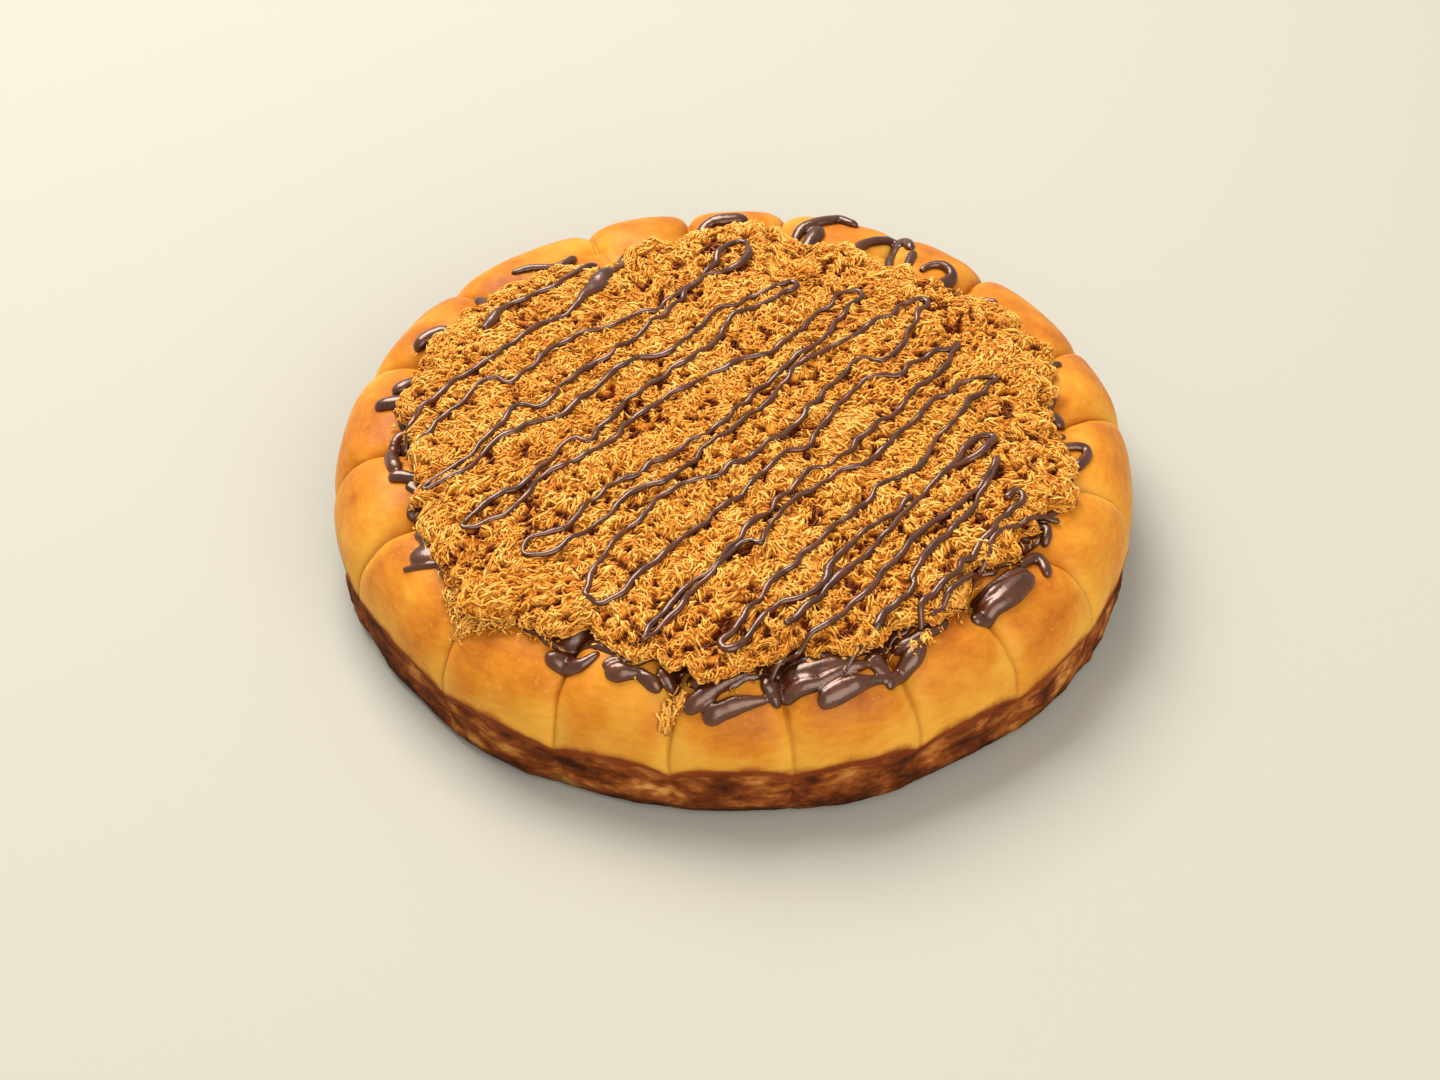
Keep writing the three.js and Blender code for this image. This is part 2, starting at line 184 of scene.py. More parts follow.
def round_ends(full: Array, along: Array, length: float = 1.0) -> Array:
    """Returns a tube's radii with oval ends: full sqrt(1 - ((cap - d) / cap)^2).

    Here d is the way to the nearer end, and cap is the full radius times the ends' length.

    Args:
        full: The radius at each point, without the ends.
        along: How far along the tube each point is.
        length: How long an end is, in radii.

    Returns:
        The radius at each point.
    """
    cap = length * full
    to_end = np.minimum(np.minimum(along, along[-1] - along), cap)
    return full * np.sqrt(np.clip(1 - ((cap - to_end) / cap) ** 2, 0, 1))


def tube_points(centres: Array, radii: Array, heights: Array, sides: int, tilt: Array | float = 0.0) -> Array:
    """Returns the points of tubes whose two ends close in a point.

    Ring k is centre + radius cos(a) side + height sin(a) up. Side is level and square to the
    path, and up is square to both. Then each point rises by tilt times its way along side.

    Args:
        centres: Points along each tube: tube, point, then x, y and z.
        radii: Half of the tube's width at each of those points.
        heights: Half of its height there.
        sides: How many corners a ring has.
        tilt: The slope of the ground across the path at each of those points.

    Returns:
        For each tube its first tip, the rings between the tips, and its last tip.
    """
    along = unit(np.gradient(centres, axis=1))
    side = unit(raised(square_to(along)))
    up = np.cross(along, side)
    angles = 2 * np.pi * (np.arange(sides) + 0.5) / sides
    across = radii[..., None, None] * np.cos(angles)[:, None] * side[..., None, :]
    upward = heights[..., None, None] * np.sin(angles)[:, None] * up[..., None, :]
    rings = centres[..., None, :] + across + upward
    rings[..., 2] += (radii * tilt)[..., None] * np.cos(angles)
    body = rings[:, 1:-1].reshape(len(centres), -1, 3)
    return np.concatenate([centres[:, :1], body, centres[:, -1:]], axis=1)


def tube_faces(count: int, rings: int, sides: int) -> tuple[Array, Array]:
    """Returns the faces of tubes laid out as tube_points does.

    Args:
        count: How many tubes there are.
        rings: How many rings a tube has between its tips.
        sides: How many corners a ring has.

    Returns:
        Four-cornered faces of the sides, and three-cornered faces of the tips.
    """
    here = 1 + np.arange(rings * sides).reshape(rings, sides)
    beside = np.roll(here, -1, axis=1)
    quads = np.stack([here[:-1], beside[:-1], beside[1:], here[1:]], axis=-1).reshape(-1, 4)
    tip = 1 + rings * sides
    first = np.stack([np.zeros_like(here[0]), beside[0], here[0]], axis=-1)
    last = np.stack([np.full_like(here[0], tip), here[-1], beside[-1]], axis=-1)
    starts = (np.arange(count) * (tip + 1))[:, None, None]
    return (quads + starts).reshape(-1, 4), (np.concatenate([first, last]) + starts).reshape(-1, 3)


def make_mesh(name: str, points: Array, *faces: Array) -> Piece:
    """Makes a mesh object from whole arrays.

    Args:
        name: The object's name.
        points: The mesh's points in millimetres, one row each.
        faces: Arrays of point numbers, one row a face and one array for each number of sides.

    Returns:
        The new object, in the scene and shaded smooth.
    """
    mesh = bpy.data.meshes.new(name)
    mesh.vertices.add(len(points))
    mesh.vertices.foreach_set("co", (points * MM).astype(np.float32).ravel())
    corners = np.concatenate([part.ravel() for part in faces]).astype(np.int32)
    sides = np.concatenate([np.full(len(part), part.shape[1]) for part in faces])
    starts = np.concatenate([[0], np.cumsum(sides)[:-1]]).astype(np.int32)
    mesh.loops.add(len(corners))
    mesh.loops.foreach_set("vertex_index", corners)
    mesh.polygons.add(len(sides))
    mesh.polygons.foreach_set("loop_start", starts)
    mesh.polygons.foreach_set("use_smooth", np.ones(len(sides), dtype=bool))
    mesh.update(calc_edges=True)
    mesh.validate()
    piece = bpy.data.objects.new(name, mesh)
    bpy.context.scene.collection.objects.link(piece)
    return piece


def make_tubes(name: str, tubes: list[Array], sides: int) -> Piece:
    """Makes one mesh object of several tubes.

    Args:
        name: The object's name.
        tubes: The points of each tube, as tube_points gives them.
        sides: How many corners a ring has.

    Returns:
        The new object.
    """
    starts = np.cumsum([0, *(len(tube) for tube in tubes)])
    parts = [tube_faces(1, (len(tube) - 2) // sides, sides) for tube in tubes]
    kinds = [np.concatenate([part + start for part, start in zip(kind, starts)]) for kind in zip(*parts)]
    return make_mesh(name, np.concatenate(tubes), *kinds)


def make_dome(name: str, rows: Array, foot: Array | Triple, crown: Array | Triple) -> Piece:
    """Makes a closed skin of rows round the axis, from a point below them to a point above.

    Args:
        name: The object's name.
        rows: The points: row from the lowest, place in the row, then x, y and z.
        foot: The point that closes the lowest row.
        crown: The point that closes the highest row.

    Returns:
        The new object.
    """
    skin = np.concatenate([[foot], rows.reshape(-1, 3), [crown]])
    return make_mesh(name, skin, *tube_faces(1, *rows.shape[:2]))


def add_measure(piece: Piece, name: str, values: Array) -> None:
    """Keeps one number for each point of a mesh, for its material to read."""
    measure = piece.data.attributes.new(name, "FLOAT", "POINT")
    measure.data.foreach_set("value", values.astype(np.float32).ravel())


def apply_modifiers(piece: Piece) -> None:
    """Makes what a piece's modifiers show its own mesh."""
    shown = piece.evaluated_get(bpy.context.evaluated_depsgraph_get())
    mesh = bpy.data.meshes.new_from_object(shown)
    piece.modifiers.clear()
    piece.data = mesh
    mesh.polygons.foreach_set("use_smooth", np.ones(len(mesh.polygons), dtype=bool))


def settle(piece: Piece, finish: bpy.types.Material, slot: str, *nodes: str) -> None:
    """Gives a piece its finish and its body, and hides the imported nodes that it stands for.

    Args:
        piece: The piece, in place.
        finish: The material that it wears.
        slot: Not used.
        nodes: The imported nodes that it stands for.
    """
    piece.data.materials.clear()
    piece.data.materials.append(finish)
    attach(piece, "root")
    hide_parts(*nodes)
    piece.data.calc_loop_triangles()
    log.info("%s: %d triangles", piece.name, len(piece.data.loop_triangles))


def linear(red: int, green: int, blue: int) -> tuple[float, float, float, float]:
    """Returns a display colour, 0 to 255, as the linear colour that shaders take.

    A share s up to 0.04045 becomes s / 12.92, and a larger one ((s + 0.055) / 1.055)^2.4.
    """
    shares = np.array([red, green, blue]) / 255
    light = np.where(shares <= 0.04045, shares / 12.92, ((shares + 0.055) / 1.055) ** 2.4)
    return (*(float(value) for value in light), 1.0)


# Finishes.


@dataclass(frozen=True)
class Grain:
    """A noise in a finish.

    Its lumps are size millimetres wide and flatten times lower than wide. Detail is how many
    finer layers it has, and roughness is how strong they are.
    """

    size: float
    detail: float = 2.0
    roughness: float = 0.5
    flatten: float = 1.0


class Recipe:
    """The node tree of one finish, with short calls for the steps that finishes share."""

    def __init__(self, name: str) -> None:
        """Starts a material with one shader and its object coordinates."""
        self.material = bpy.data.materials.new(name)
        self.material.use_nodes = True
        self.tree = self.material.node_tree
        self.place = self.new("TexCoord").outputs["Object"]

    def new(self, kind: str) -> bpy.types.Node:
        """Adds a node."""
        return self.tree.nodes.new(f"ShaderNode{kind}")

    def feed(self, node: bpy.types.Node, inputs: dict[str | int, object]) -> bpy.types.Node:
        """Gives a node's inputs their values.

        Args:
            node: The node.
            inputs: A socket, number or colour for each input, by its name or place.

        Returns:
            The same node.
        """
        for name, value in inputs.items():
            if isinstance(value, Socket):
                self.tree.links.new(value, node.inputs[name])
            else:
                node.inputs[name].default_value = value
        return node

    def measure(self, name: str) -> Socket:
        """Returns a number that the mesh keeps at its points."""
        node = self.new("Attribute")
        node.attribute_name = name
        return node.outputs["Fac"]

    def noise(self, grain: Grain) -> Socket:
        """Returns a noise from 0 to 1.

        Args:
            grain: The noise's sizes.

        Returns:
            The socket of the noise.
        """
        place = self.place
        if grain.flatten != 1:
            scale = (1, 1, grain.flatten)
            place = self.feed(self.new("Mapping"), {"Vector": place, "Scale": scale}).outputs["Vector"]
        node = self.feed(self.new("TexNoise"), {"Vector": place, "Scale": 1 / (grain.size * MM)})
        return self.feed(node, {"Detail": grain.detail, "Roughness": grain.roughness}).outputs["Fac"]

    def math(self, kind: str, *values: Socket | float) -> Socket:
        """Returns a sum, product or other result of numbers or sockets."""
        node = self.new("Math")
        node.operation = kind
        return self.feed(node, dict(enumerate(values))).outputs[0]

    def flipped(self, share: Socket) -> Socket:
        """Returns 1 less a share."""
        return self.math("SUBTRACT", 1.0, share)

    def weighed(self, values: tuple[Socket, ...], weights: tuple[float, ...], base: float) -> Socket:
        """Returns the sum of some numbers, each times its weight, and a base."""
        total = base
        for value, weight in zip(values, weights):
            total = self.math("MULTIPLY_ADD", value, weight, total)
        return total

    def band(self, value: Socket, low: float, high: float) -> Socket:
        """Returns 0 at one value and 1 at another, eased between them."""
        node = self.new("MapRange")
        node.interpolation_type = "SMOOTHSTEP"
        return self.feed(node, {"Value": value, "From Min": low, "From Max": high}).outputs["Result"]

    def range(self, share: Socket, low: float, high: float) -> Socket:
        """Returns a share from 0 to 1 spread over another range."""
        inputs = {"Value": share, "To Min": low, "To Max": high}
        return self.feed(self.new("MapRange"), inputs).outputs["Result"]

    def ramp(self, share: Socket, stops: Stops) -> Socket:
        """Returns a colour that runs through some stops.

        Args:
            share: Where on the ramp to read, 0 to 1.
            stops: Places on the ramp, each with its display colour.

        Returns:
            The socket of the colour.
        """
        node = self.feed(self.new("ValToRGB"), {"Fac": share})
        elements = node.color_ramp.elements
        for element, (position, colour) in zip((elements[0], elements[1]), (stops[0], stops[-1])):
            element.position = position
            element.color = linear(*colour)
        for position, colour in stops[1:-1]:
            elements.new(position).color = linear(*colour)
        return node.outputs["Color"]

    def mix(self, share: Socket, under: Socket, over: Socket | Colour) -> Socket:
        """Returns one colour laid over another.

        Args:
            share: How much of the upper colour shows.
            under: The lower colour.
            over: The upper colour, as a socket or a display colour.

        Returns:
            The socket of the mixed colour.
        """
        node = self.new("Mix")
        node.data_type = "RGBA"
        upper = linear(*over) if isinstance(over, tuple) else over
        return self.feed(node, {0: share, 6: under, 7: upper}).outputs[2]

    def bump(self, height: Socket, depth: float, below: Socket | None = None) -> Socket:
        """Returns a normal tilted by a fine relief.

        Args:
            height: The relief, 0 to 1.
            depth: How deep it is in millimetres.
            below: A normal that is already tilted, or None.

        Returns:
            The socket of the normal.
        """
        node = self.feed(self.new("Bump"), {"Height": height, "Distance": depth * MM})
        if below is not None:
            self.feed(node, {"Normal": below})
        return node.outputs["Normal"]

    def finish(self, inputs: dict[str, object]) -> bpy.types.Material:
        """Feeds the shader's inputs and returns the material."""
        self.feed(self.tree.nodes["Principled BSDF"], inputs)
        return self.material


@dataclass(frozen=True)
class CrustFinish:
    """Soft baked crust: golden on the domes, brown in torn patches on the wall, with painted shade at the
    wall's foot and along the creases.

    The loaf's points keep two measures. Rise is 0 at the underside, 1 at the shoulder, 2 at the
    crest and more inside. Seam is the distance to the nearest crease in millimetres. A band is
    where a share goes from 0 to 1, and a strength is how much of a colour shows at most.
    """

    dome_stops: Stops = ((0.05, (211, 151, 51)), (0.5, (196, 121, 29)), (1.0, (160, 80, 19)))
    dome_patches: Grain = Grain(19, 3)
    dome_streaks: Grain = Grain(5, 3, 0.6, 3.2)
    climb_band: Pair = (1.02, 1.5)
    inside_band: Pair = (0.5, 7)
    dome_weights: tuple[float, ...] = (0.4, 1.6, 0.56, 0.26)
    dome_base: float = -1.13
    speck: Colour = (222, 158, 80)
    specks: Grain = Grain(1.3)
    speck_band: Pair = (0.6, 0.78)
    speck_strength: float = 0.34
    wall_stops: Stops = (
        (0.34, (58, 25, 10)),
        (0.46, (98, 45, 16)),
        (0.55, (130, 67, 25)),
        (0.62, (160, 95, 40)),
        (0.7, (188, 132, 68)),
    )
    wall_patches: Grain = Grain(13, 3, 0.55, 1.8)
    fibres: Grain = Grain(3, 2, 0.6, 2.6)
    wall_weights: tuple[float, ...] = (1.0, 0.2)
    wall_base: float = -0.1
    # Painted shade at the wall's foot: its near-black brown, the band of rise where it fades out, and its
    # strength.
    foot_shade_colour: Colour = (36, 17, 8)
    foot_shade_band: Pair = (0.02, 0.36)
    foot_shade_strength: float = 0.8
    rim_red: Colour = (126, 56, 20)
    rim_band: Pair = (0.72, 0.9)
    rim_strength: float = 0.8
    waver: Grain = Grain(8, 3)
    waver_height: float = 0.16
    shoulder_band: Pair = (0.945, 1.055)
    # Painted shade along the creases on the domes: its brown, its reach in millimetres and its strength.
    crease_shade_colour: Colour = (126, 66, 17)
    crease_shade_band: Pair = (0.0, 0.9)
    crease_shade_strength: float = 0.32
    pores: Grain = Grain(0.8, 4, 0.6)
    pore_depth: float = 0.04
    wrinkles: Grain = Grain(3.2, 3, 0.5, 1.8)
    wrinkle_depth: float = 0.5
    roughness: Pair = (0.7, 0.46)
    shine: Pair = (0.06, 0.12)
    softness: float = 0.1
    soft_reach: Triple = (1.0, 0.45, 0.2)
    soft_scale: float = 0.003

    def dome_colour(self, recipe: Recipe, rise: Socket, seam: Socket) -> Socket:
        """Returns the domes' colour: gold at the shoulder and the seams, orange in patches above.

        Args:
            recipe: The finish's node tree.
            rise: The loaf's rise.
            seam: The distance to the nearest crease.

        Returns:
            The socket of the colour.
        """
        patches, streaks = recipe.noise(self.dome_patches), recipe.noise(self.dome_streaks)
        climb, inside = recipe.band(rise, *self.climb_band), recipe.band(seam, *self.inside_band)
        share = recipe.weighed((climb, patches, streaks, inside), self.dome_weights, self.dome_base)
        specks = recipe.band(recipe.noise(self.specks), *self.speck_band)
        faint = recipe.math("MULTIPLY", specks, self.speck_strength)
        return recipe.mix(faint, recipe.ramp(share, self.dome_stops), self.speck)

    def wall_colour(self, recipe: Recipe, rise: Socket) -> Socket:
        """Returns the wall's colour: torn patches of brown and cream, darkened towards its foot by painted
        shade.

        Args:
            recipe: The finish's node tree.
            rise: The loaf's rise, a little wavy.

        Returns:
            The socket of the colour.
        """
        noises = (recipe.noise(self.wall_patches), recipe.noise(self.fibres))
        bare = recipe.ramp(recipe.weighed(noises, self.wall_weights, self.wall_base), self.wall_stops)
        # Painted shade: the wall darkens towards its foot.
        foot = recipe.flipped(recipe.band(rise, *self.foot_shade_band))
        foot_shaded = recipe.mix(recipe.math("MULTIPLY", foot, self.foot_shade_strength), bare, self.foot_shade_colour)
        rim = recipe.band(rise, *self.rim_band)
        return recipe.mix(recipe.math("MULTIPLY", rim, self.rim_strength), foot_shaded, self.rim_red)

    def material(self) -> bpy.types.Material:
        """Returns the finished crust.

        The rise wavers by a noise, so that the wall meets the domes in an uneven line. The
        wrinkles are on the wall alone, and the domes are smoother and shinier. Painted shade
        darkens the domes to brown along each crease.
        """
        recipe = Recipe("golden_crust")
        rise, seam = recipe.measure("rise"), recipe.measure("seam")
        waver = recipe.noise(self.waver)
        wavy = recipe.weighed((rise, waver), (1.0, self.waver_height), -self.waver_height / 2)
        above = recipe.band(wavy, *self.shoulder_band)
        skin = recipe.mix(above, self.wall_colour(recipe, wavy), self.dome_colour(recipe, rise, seam))
        # Painted shade: the domes darken to brown within a millimetre of each crease.
        near_seam = recipe.flipped(recipe.band(seam, *self.crease_shade_band))
        crease_shade_share = recipe.math("MULTIPLY", recipe.math("MULTIPLY", near_seam, above), self.crease_shade_strength)
        pores = recipe.bump(recipe.noise(self.pores), self.pore_depth)
        wrinkles = recipe.math("MULTIPLY", recipe.noise(self.wrinkles), recipe.flipped(above))
        inputs = {
            "Base Color": recipe.mix(crease_shade_share, skin, self.crease_shade_colour),
            "Normal": recipe.bump(wrinkles, self.wrinkle_depth, below=pores),
            "Roughness": recipe.range(above, *self.roughness),
            "Specular IOR Level": recipe.range(above, *self.shine),
            "Subsurface Weight": self.softness,
            "Subsurface Radius": self.soft_reach,
            "Subsurface Scale": self.soft_scale,
        }
        return recipe.finish(inputs)


@dataclass(frozen=True)
class ChocolateFinish:
    """Glossy milk-brown chocolate hazelnut spread, with faint streaks and soft dents."""

    stops: Stops = ((0.3, (40, 12, 3)), (0.7, (80, 34, 12)))
    swirl: Grain = Grain(6, 3)
    dents: Grain = Grain(1.6)
    dent_depth: float = 0.12
    roughness: float = 0.28
    shine: float = 0.95
    sheen: tuple[float, float, float, float] = (1.0, 0.7, 0.54, 1.0)
    coat: float = 0.16
    coat_roughness: float = 0.09

    def material(self) -> bpy.types.Material:
        """Returns the finished chocolate."""
        recipe = Recipe("hazelnut_chocolate")
        inputs = {
            "Base Color": recipe.ramp(recipe.noise(self.swirl), self.stops),
            "Normal": recipe.bump(recipe.noise(self.dents), self.dent_depth),
            "Roughness": self.roughness,
            "Specular IOR Level": self.shine,
            "Specular Tint": self.sheen,
            "Coat Weight": self.coat,
            "Coat Roughness": self.coat_roughness,
        }
        return recipe.finish(inputs)


class FlossKind(Enum):
    """The kinds of shred in the heap, each with its deep, middle and raised display colours. The deep colour
    is painted shade and the raised one painted light.
    """

    PALE = ((128, 62, 20), (230, 160, 60), (246, 194, 100))
    GOLDEN = ((118, 54, 16), (226, 151, 50), (243, 184, 86))
    AMBER = ((104, 44, 12), (216, 137, 42), (238, 172, 72))
    TOASTED = ((86, 32, 9), (196, 112, 32), (226, 150, 56))


@dataclass(frozen=True)
class FlossFinish:
    """Dry shreds. Their points keep lift, 0 deep in the heap to 1 at its top, and tone. The lift is painted
    as shade and light: darker deep down, lighter on top.
    """

    kind: FlossKind
    places: Triple = (0.05, 0.5, 0.95)
    near: Grain = Grain(6, 3, 0.6)
    far: Grain = Grain(26, 1)
    weights: tuple[float, ...] = (1.1, 0.14, 0.24, 0.3)
    base: float = -0.42
    grain: Grain = Grain(0.4)
    grain_depth: float = 0.08
    roughness: float = 0.66
    shine: float = 0.14

    def material(self) -> bpy.types.Material:
        """Returns the finish of this kind of shred."""
        recipe = Recipe(f"floss_{self.kind.name.lower()}")
        noises = (recipe.noise(self.near), recipe.noise(self.far))
        # Painted shade and light: a low lift gives the deep colour, a high lift the raised one.
        values = (recipe.measure("lift"), recipe.measure("tone"), *noises)
        share = recipe.weighed(values, self.weights, self.base)
        inputs = {
            "Base Color": recipe.ramp(share, tuple(zip(self.places, self.kind.value))),
            "Normal": recipe.bump(recipe.noise(self.grain), self.grain_depth),
            "Roughness": self.roughness,
            "Specular IOR Level": self.shine,
        }
        return recipe.finish(inputs)


@dataclass(frozen=True)
class CoreFinish:
    """The inside of the heap of shreds, darkened in its pits by painted shade. Its points keep lift."""

    # Painted shade and light: dark red-brown where the lift is low, deep down and in the pits, gold where it
    # is high.
    stops: Stops = ((0.05, (100, 38, 8)), (0.3, (160, 78, 20)), (0.6, (214, 136, 42)), (1.0, (238, 172, 66)))
    grain: Grain = Grain(1.1, 4, 0.7)
    grain_depth: float = 0.7
    weights: Pair = (1.0, 0.6)
    base: float = -0.38
    roughness: float = 0.8
    shine: float = 0.05

    def material(self) -> bpy.types.Material:
        """Returns the finish of the heap's core."""
        recipe = Recipe("floss_core")
        grain = recipe.noise(self.grain)
        share = recipe.weighed((recipe.measure("lift"), grain), self.weights, self.base)
        inputs = {
            "Base Color": recipe.ramp(share, self.stops),
            "Normal": recipe.bump(grain, self.grain_depth),
            "Roughness": self.roughness,
            "Specular IOR Level": self.shine,
        }
        return recipe.finish(inputs)


# The forms that pieces share.


@dataclass(frozen=True)
class LoafForm:
    """The loaf's form: a ring of domed lobes parted by creases, on a slightly recessed wall.

    Each crease has an azimuth at the shoulder and a turn by which it has moved at the crest, in
    degrees. A place across a lobe runs from -1 at one crease to 1 at the next. The lobes differ
    a little in radius and height, by a sine of their number times a beat.
    """

    outer_radius: float = 119.1
    crest_radius: float = 97.0
    shoulder_height: float = 21.0
    dome_height: float = 22.0
    dome_roundness: float = 2.1
    radius_swing: float = 0.7
    radius_beat: float = 2.4
    height_swing: float = 0.8
    height_beat: float = 3.7
    height_phase: float = 1.0
    edge_power: int = 4
    shoulder_notch: float = 2.8
    notch_sharpness: float = 5.0
    shoulder_dip: float = 4.0
    crease_depth: float = 9.0
    crease_bottom: float = 0.985
    crest_sharpness: float = 2.2
    added_sharpness: float = 2.5
    inner_floor: float = 40.0
    inner_drop: float = 4.0
    inner_reach: float = 17.0
    azimuths: tuple[float, ...] = (
        8.4, 24.6, 46.9, 62, 81.2, 97, 114.3, 140.4, 162.1, 184.9,
        203.6, 226.4, 245.1, 261.1, 277.7, 295.5, 311.8, 329.6, 348.2,
    )
    turns: tuple[float, ...] = (
        -6.5, -6, -4, -2, 0.5, 1.5, 1, 0.5, -0.5, 0.5,
        0.5, 0, -0.8, 0.4, -1.8, -2.4, -1.3, -2, -3.2,
    )

    @property
    def lobes(self) -> int:
        """How many lobes there are."""
        return len(self.azimuths)

    def crease_azimuth(self, lobe: Array, radius: Array) -> Array:
        """Returns the azimuth of the crease that starts a lobe, which turns towards the crest.

        Args:
            lobe: The lobes' numbers.
            radius: Where along the crease, from the axis.

        Returns:
            The azimuths in degrees.
        """
        inwards = np.clip((self.outer_radius - radius) / (self.outer_radius - self.crest_radius), 0, 1)
        number = lobe % self.lobes
        return np.array(self.azimuths)[number] + np.array(self.turns)[number] * inwards

    def lobe_width(self, lobe: Array, radius: Array) -> Array:
        """Returns how many degrees a lobe takes at a radius."""
        return (self.crease_azimuth(lobe + 1, radius) - self.crease_azimuth(lobe, radius)) % 360

    def azimuth(self, lobe: Array, across: Array, radius: Array) -> Array:
        """Returns the azimuth in degrees of a place across a lobe."""
        return self.crease_azimuth(lobe, radius) + self.lobe_width(lobe, radius) * (across + 1) / 2

    def lobe_at(self, radius: Array, azimuth: Array) -> tuple[Array, Array]:
        """Returns the lobe at each place, and the place across it.

        The lobe is the one whose first crease is the least way clockwise.

        Args:
            radius: The places' distances from the axis.
            azimuth: Their azimuths in degrees.

        Returns:
            The lobes' numbers, and the places across them.
        """
        starts = self.crease_azimuth(np.arange(self.lobes), radius[..., None])
        along = (azimuth[..., None] - starts) % 360
        lobe = along.argmin(axis=-1)
        return lobe, 2 * along.min(axis=-1) / self.lobe_width(lobe, radius) - 1

    def crease(self, across: Array, sharpness: Array | float) -> Array:
        """Returns 1 - (1 - |a|^n)^(1/n): 0 over most of a lobe, rising to its narrow soft crease."""
        return 1 - (1 - np.clip(np.abs(across), 0, self.crease_bottom) ** sharpness) ** (1 / sharpness)

    def notch(self, across: Array) -> Array:
        """Returns how deep the crease's notch is in the wall."""
        return self.shoulder_notch * self.crease(across, self.notch_sharpness)

    def sizes(self, lobe: Array, across: Array) -> tuple[Array, Array, Array]:
        """Returns a lobe's outer radius, crest height and shoulder height at a place across it.

        Args:
            lobe: The lobes' numbers.
            across: The places across them.

        Returns:
            The radii, the crest heights and the shoulder heights.
        """
        own = 1 - across**self.edge_power
        swing = self.radius_swing * np.sin(self.radius_beat * lobe) * own
        outer = self.outer_radius + swing - self.notch(across)
        beat = np.sin(self.height_beat * lobe + self.height_phase)
        crest = self.shoulder_height + self.dome_height + self.height_swing * beat * own
        return outer, crest, self.shoulder_height - self.shoulder_dip * across**self.edge_power

    def dome(self, lobe: Array, across: Array, outwards: Array) -> Array:
        """Returns the height of a lobe's dome.

        With o from 0 at the crest to 1 at the shoulder, it is
        shoulder + (crest - shoulder) (1 - o^n)^(1/n) - depth sqrt(1 - o^2) crease.

        Args:
            lobe: The lobes' numbers.
            across: The places across them.
            outwards: The way from the crest to the shoulder, 0 to 1.

        Returns:
            The heights.
        """
        _, crest, shoulder = self.sizes(lobe, across)
        rise = (1 - outwards**self.dome_roundness) ** (1 / self.dome_roundness)
        sharpness = self.crest_sharpness + self.added_sharpness * outwards
        valley = self.crease_depth * np.sqrt(1 - outwards**2) * self.crease(across, sharpness)
        return shoulder + (crest - shoulder) * rise - valley

    def top(self, plan: Array) -> Array:
        """Returns the height of the loaf's top.

        Outside the crests it is the dome. Inside, it drops by the square of the way in, down to
        the inner floor.

        Args:
            plan: Places, with x and y first along the last axis.

        Returns:
            The height at each place.
        """
        radius = np.hypot(plan[..., 0], plan[..., 1])
        lobe, across = self.lobe_at(radius, np.degrees(np.arctan2(plan[..., 1], plan[..., 0])))
        outer, _, _ = self.sizes(lobe, across)
        outwards = np.clip((radius - self.crest_radius) / (outer - self.crest_radius), 0, 1)
        inwards = np.clip((self.crest_radius - radius) / self.inner_reach, 0, None)
        height = self.dome(lobe, across, outwards) - self.inner_drop * inwards**2
        return np.where(radius < self.crest_radius, np.maximum(height, self.inner_floor), height)


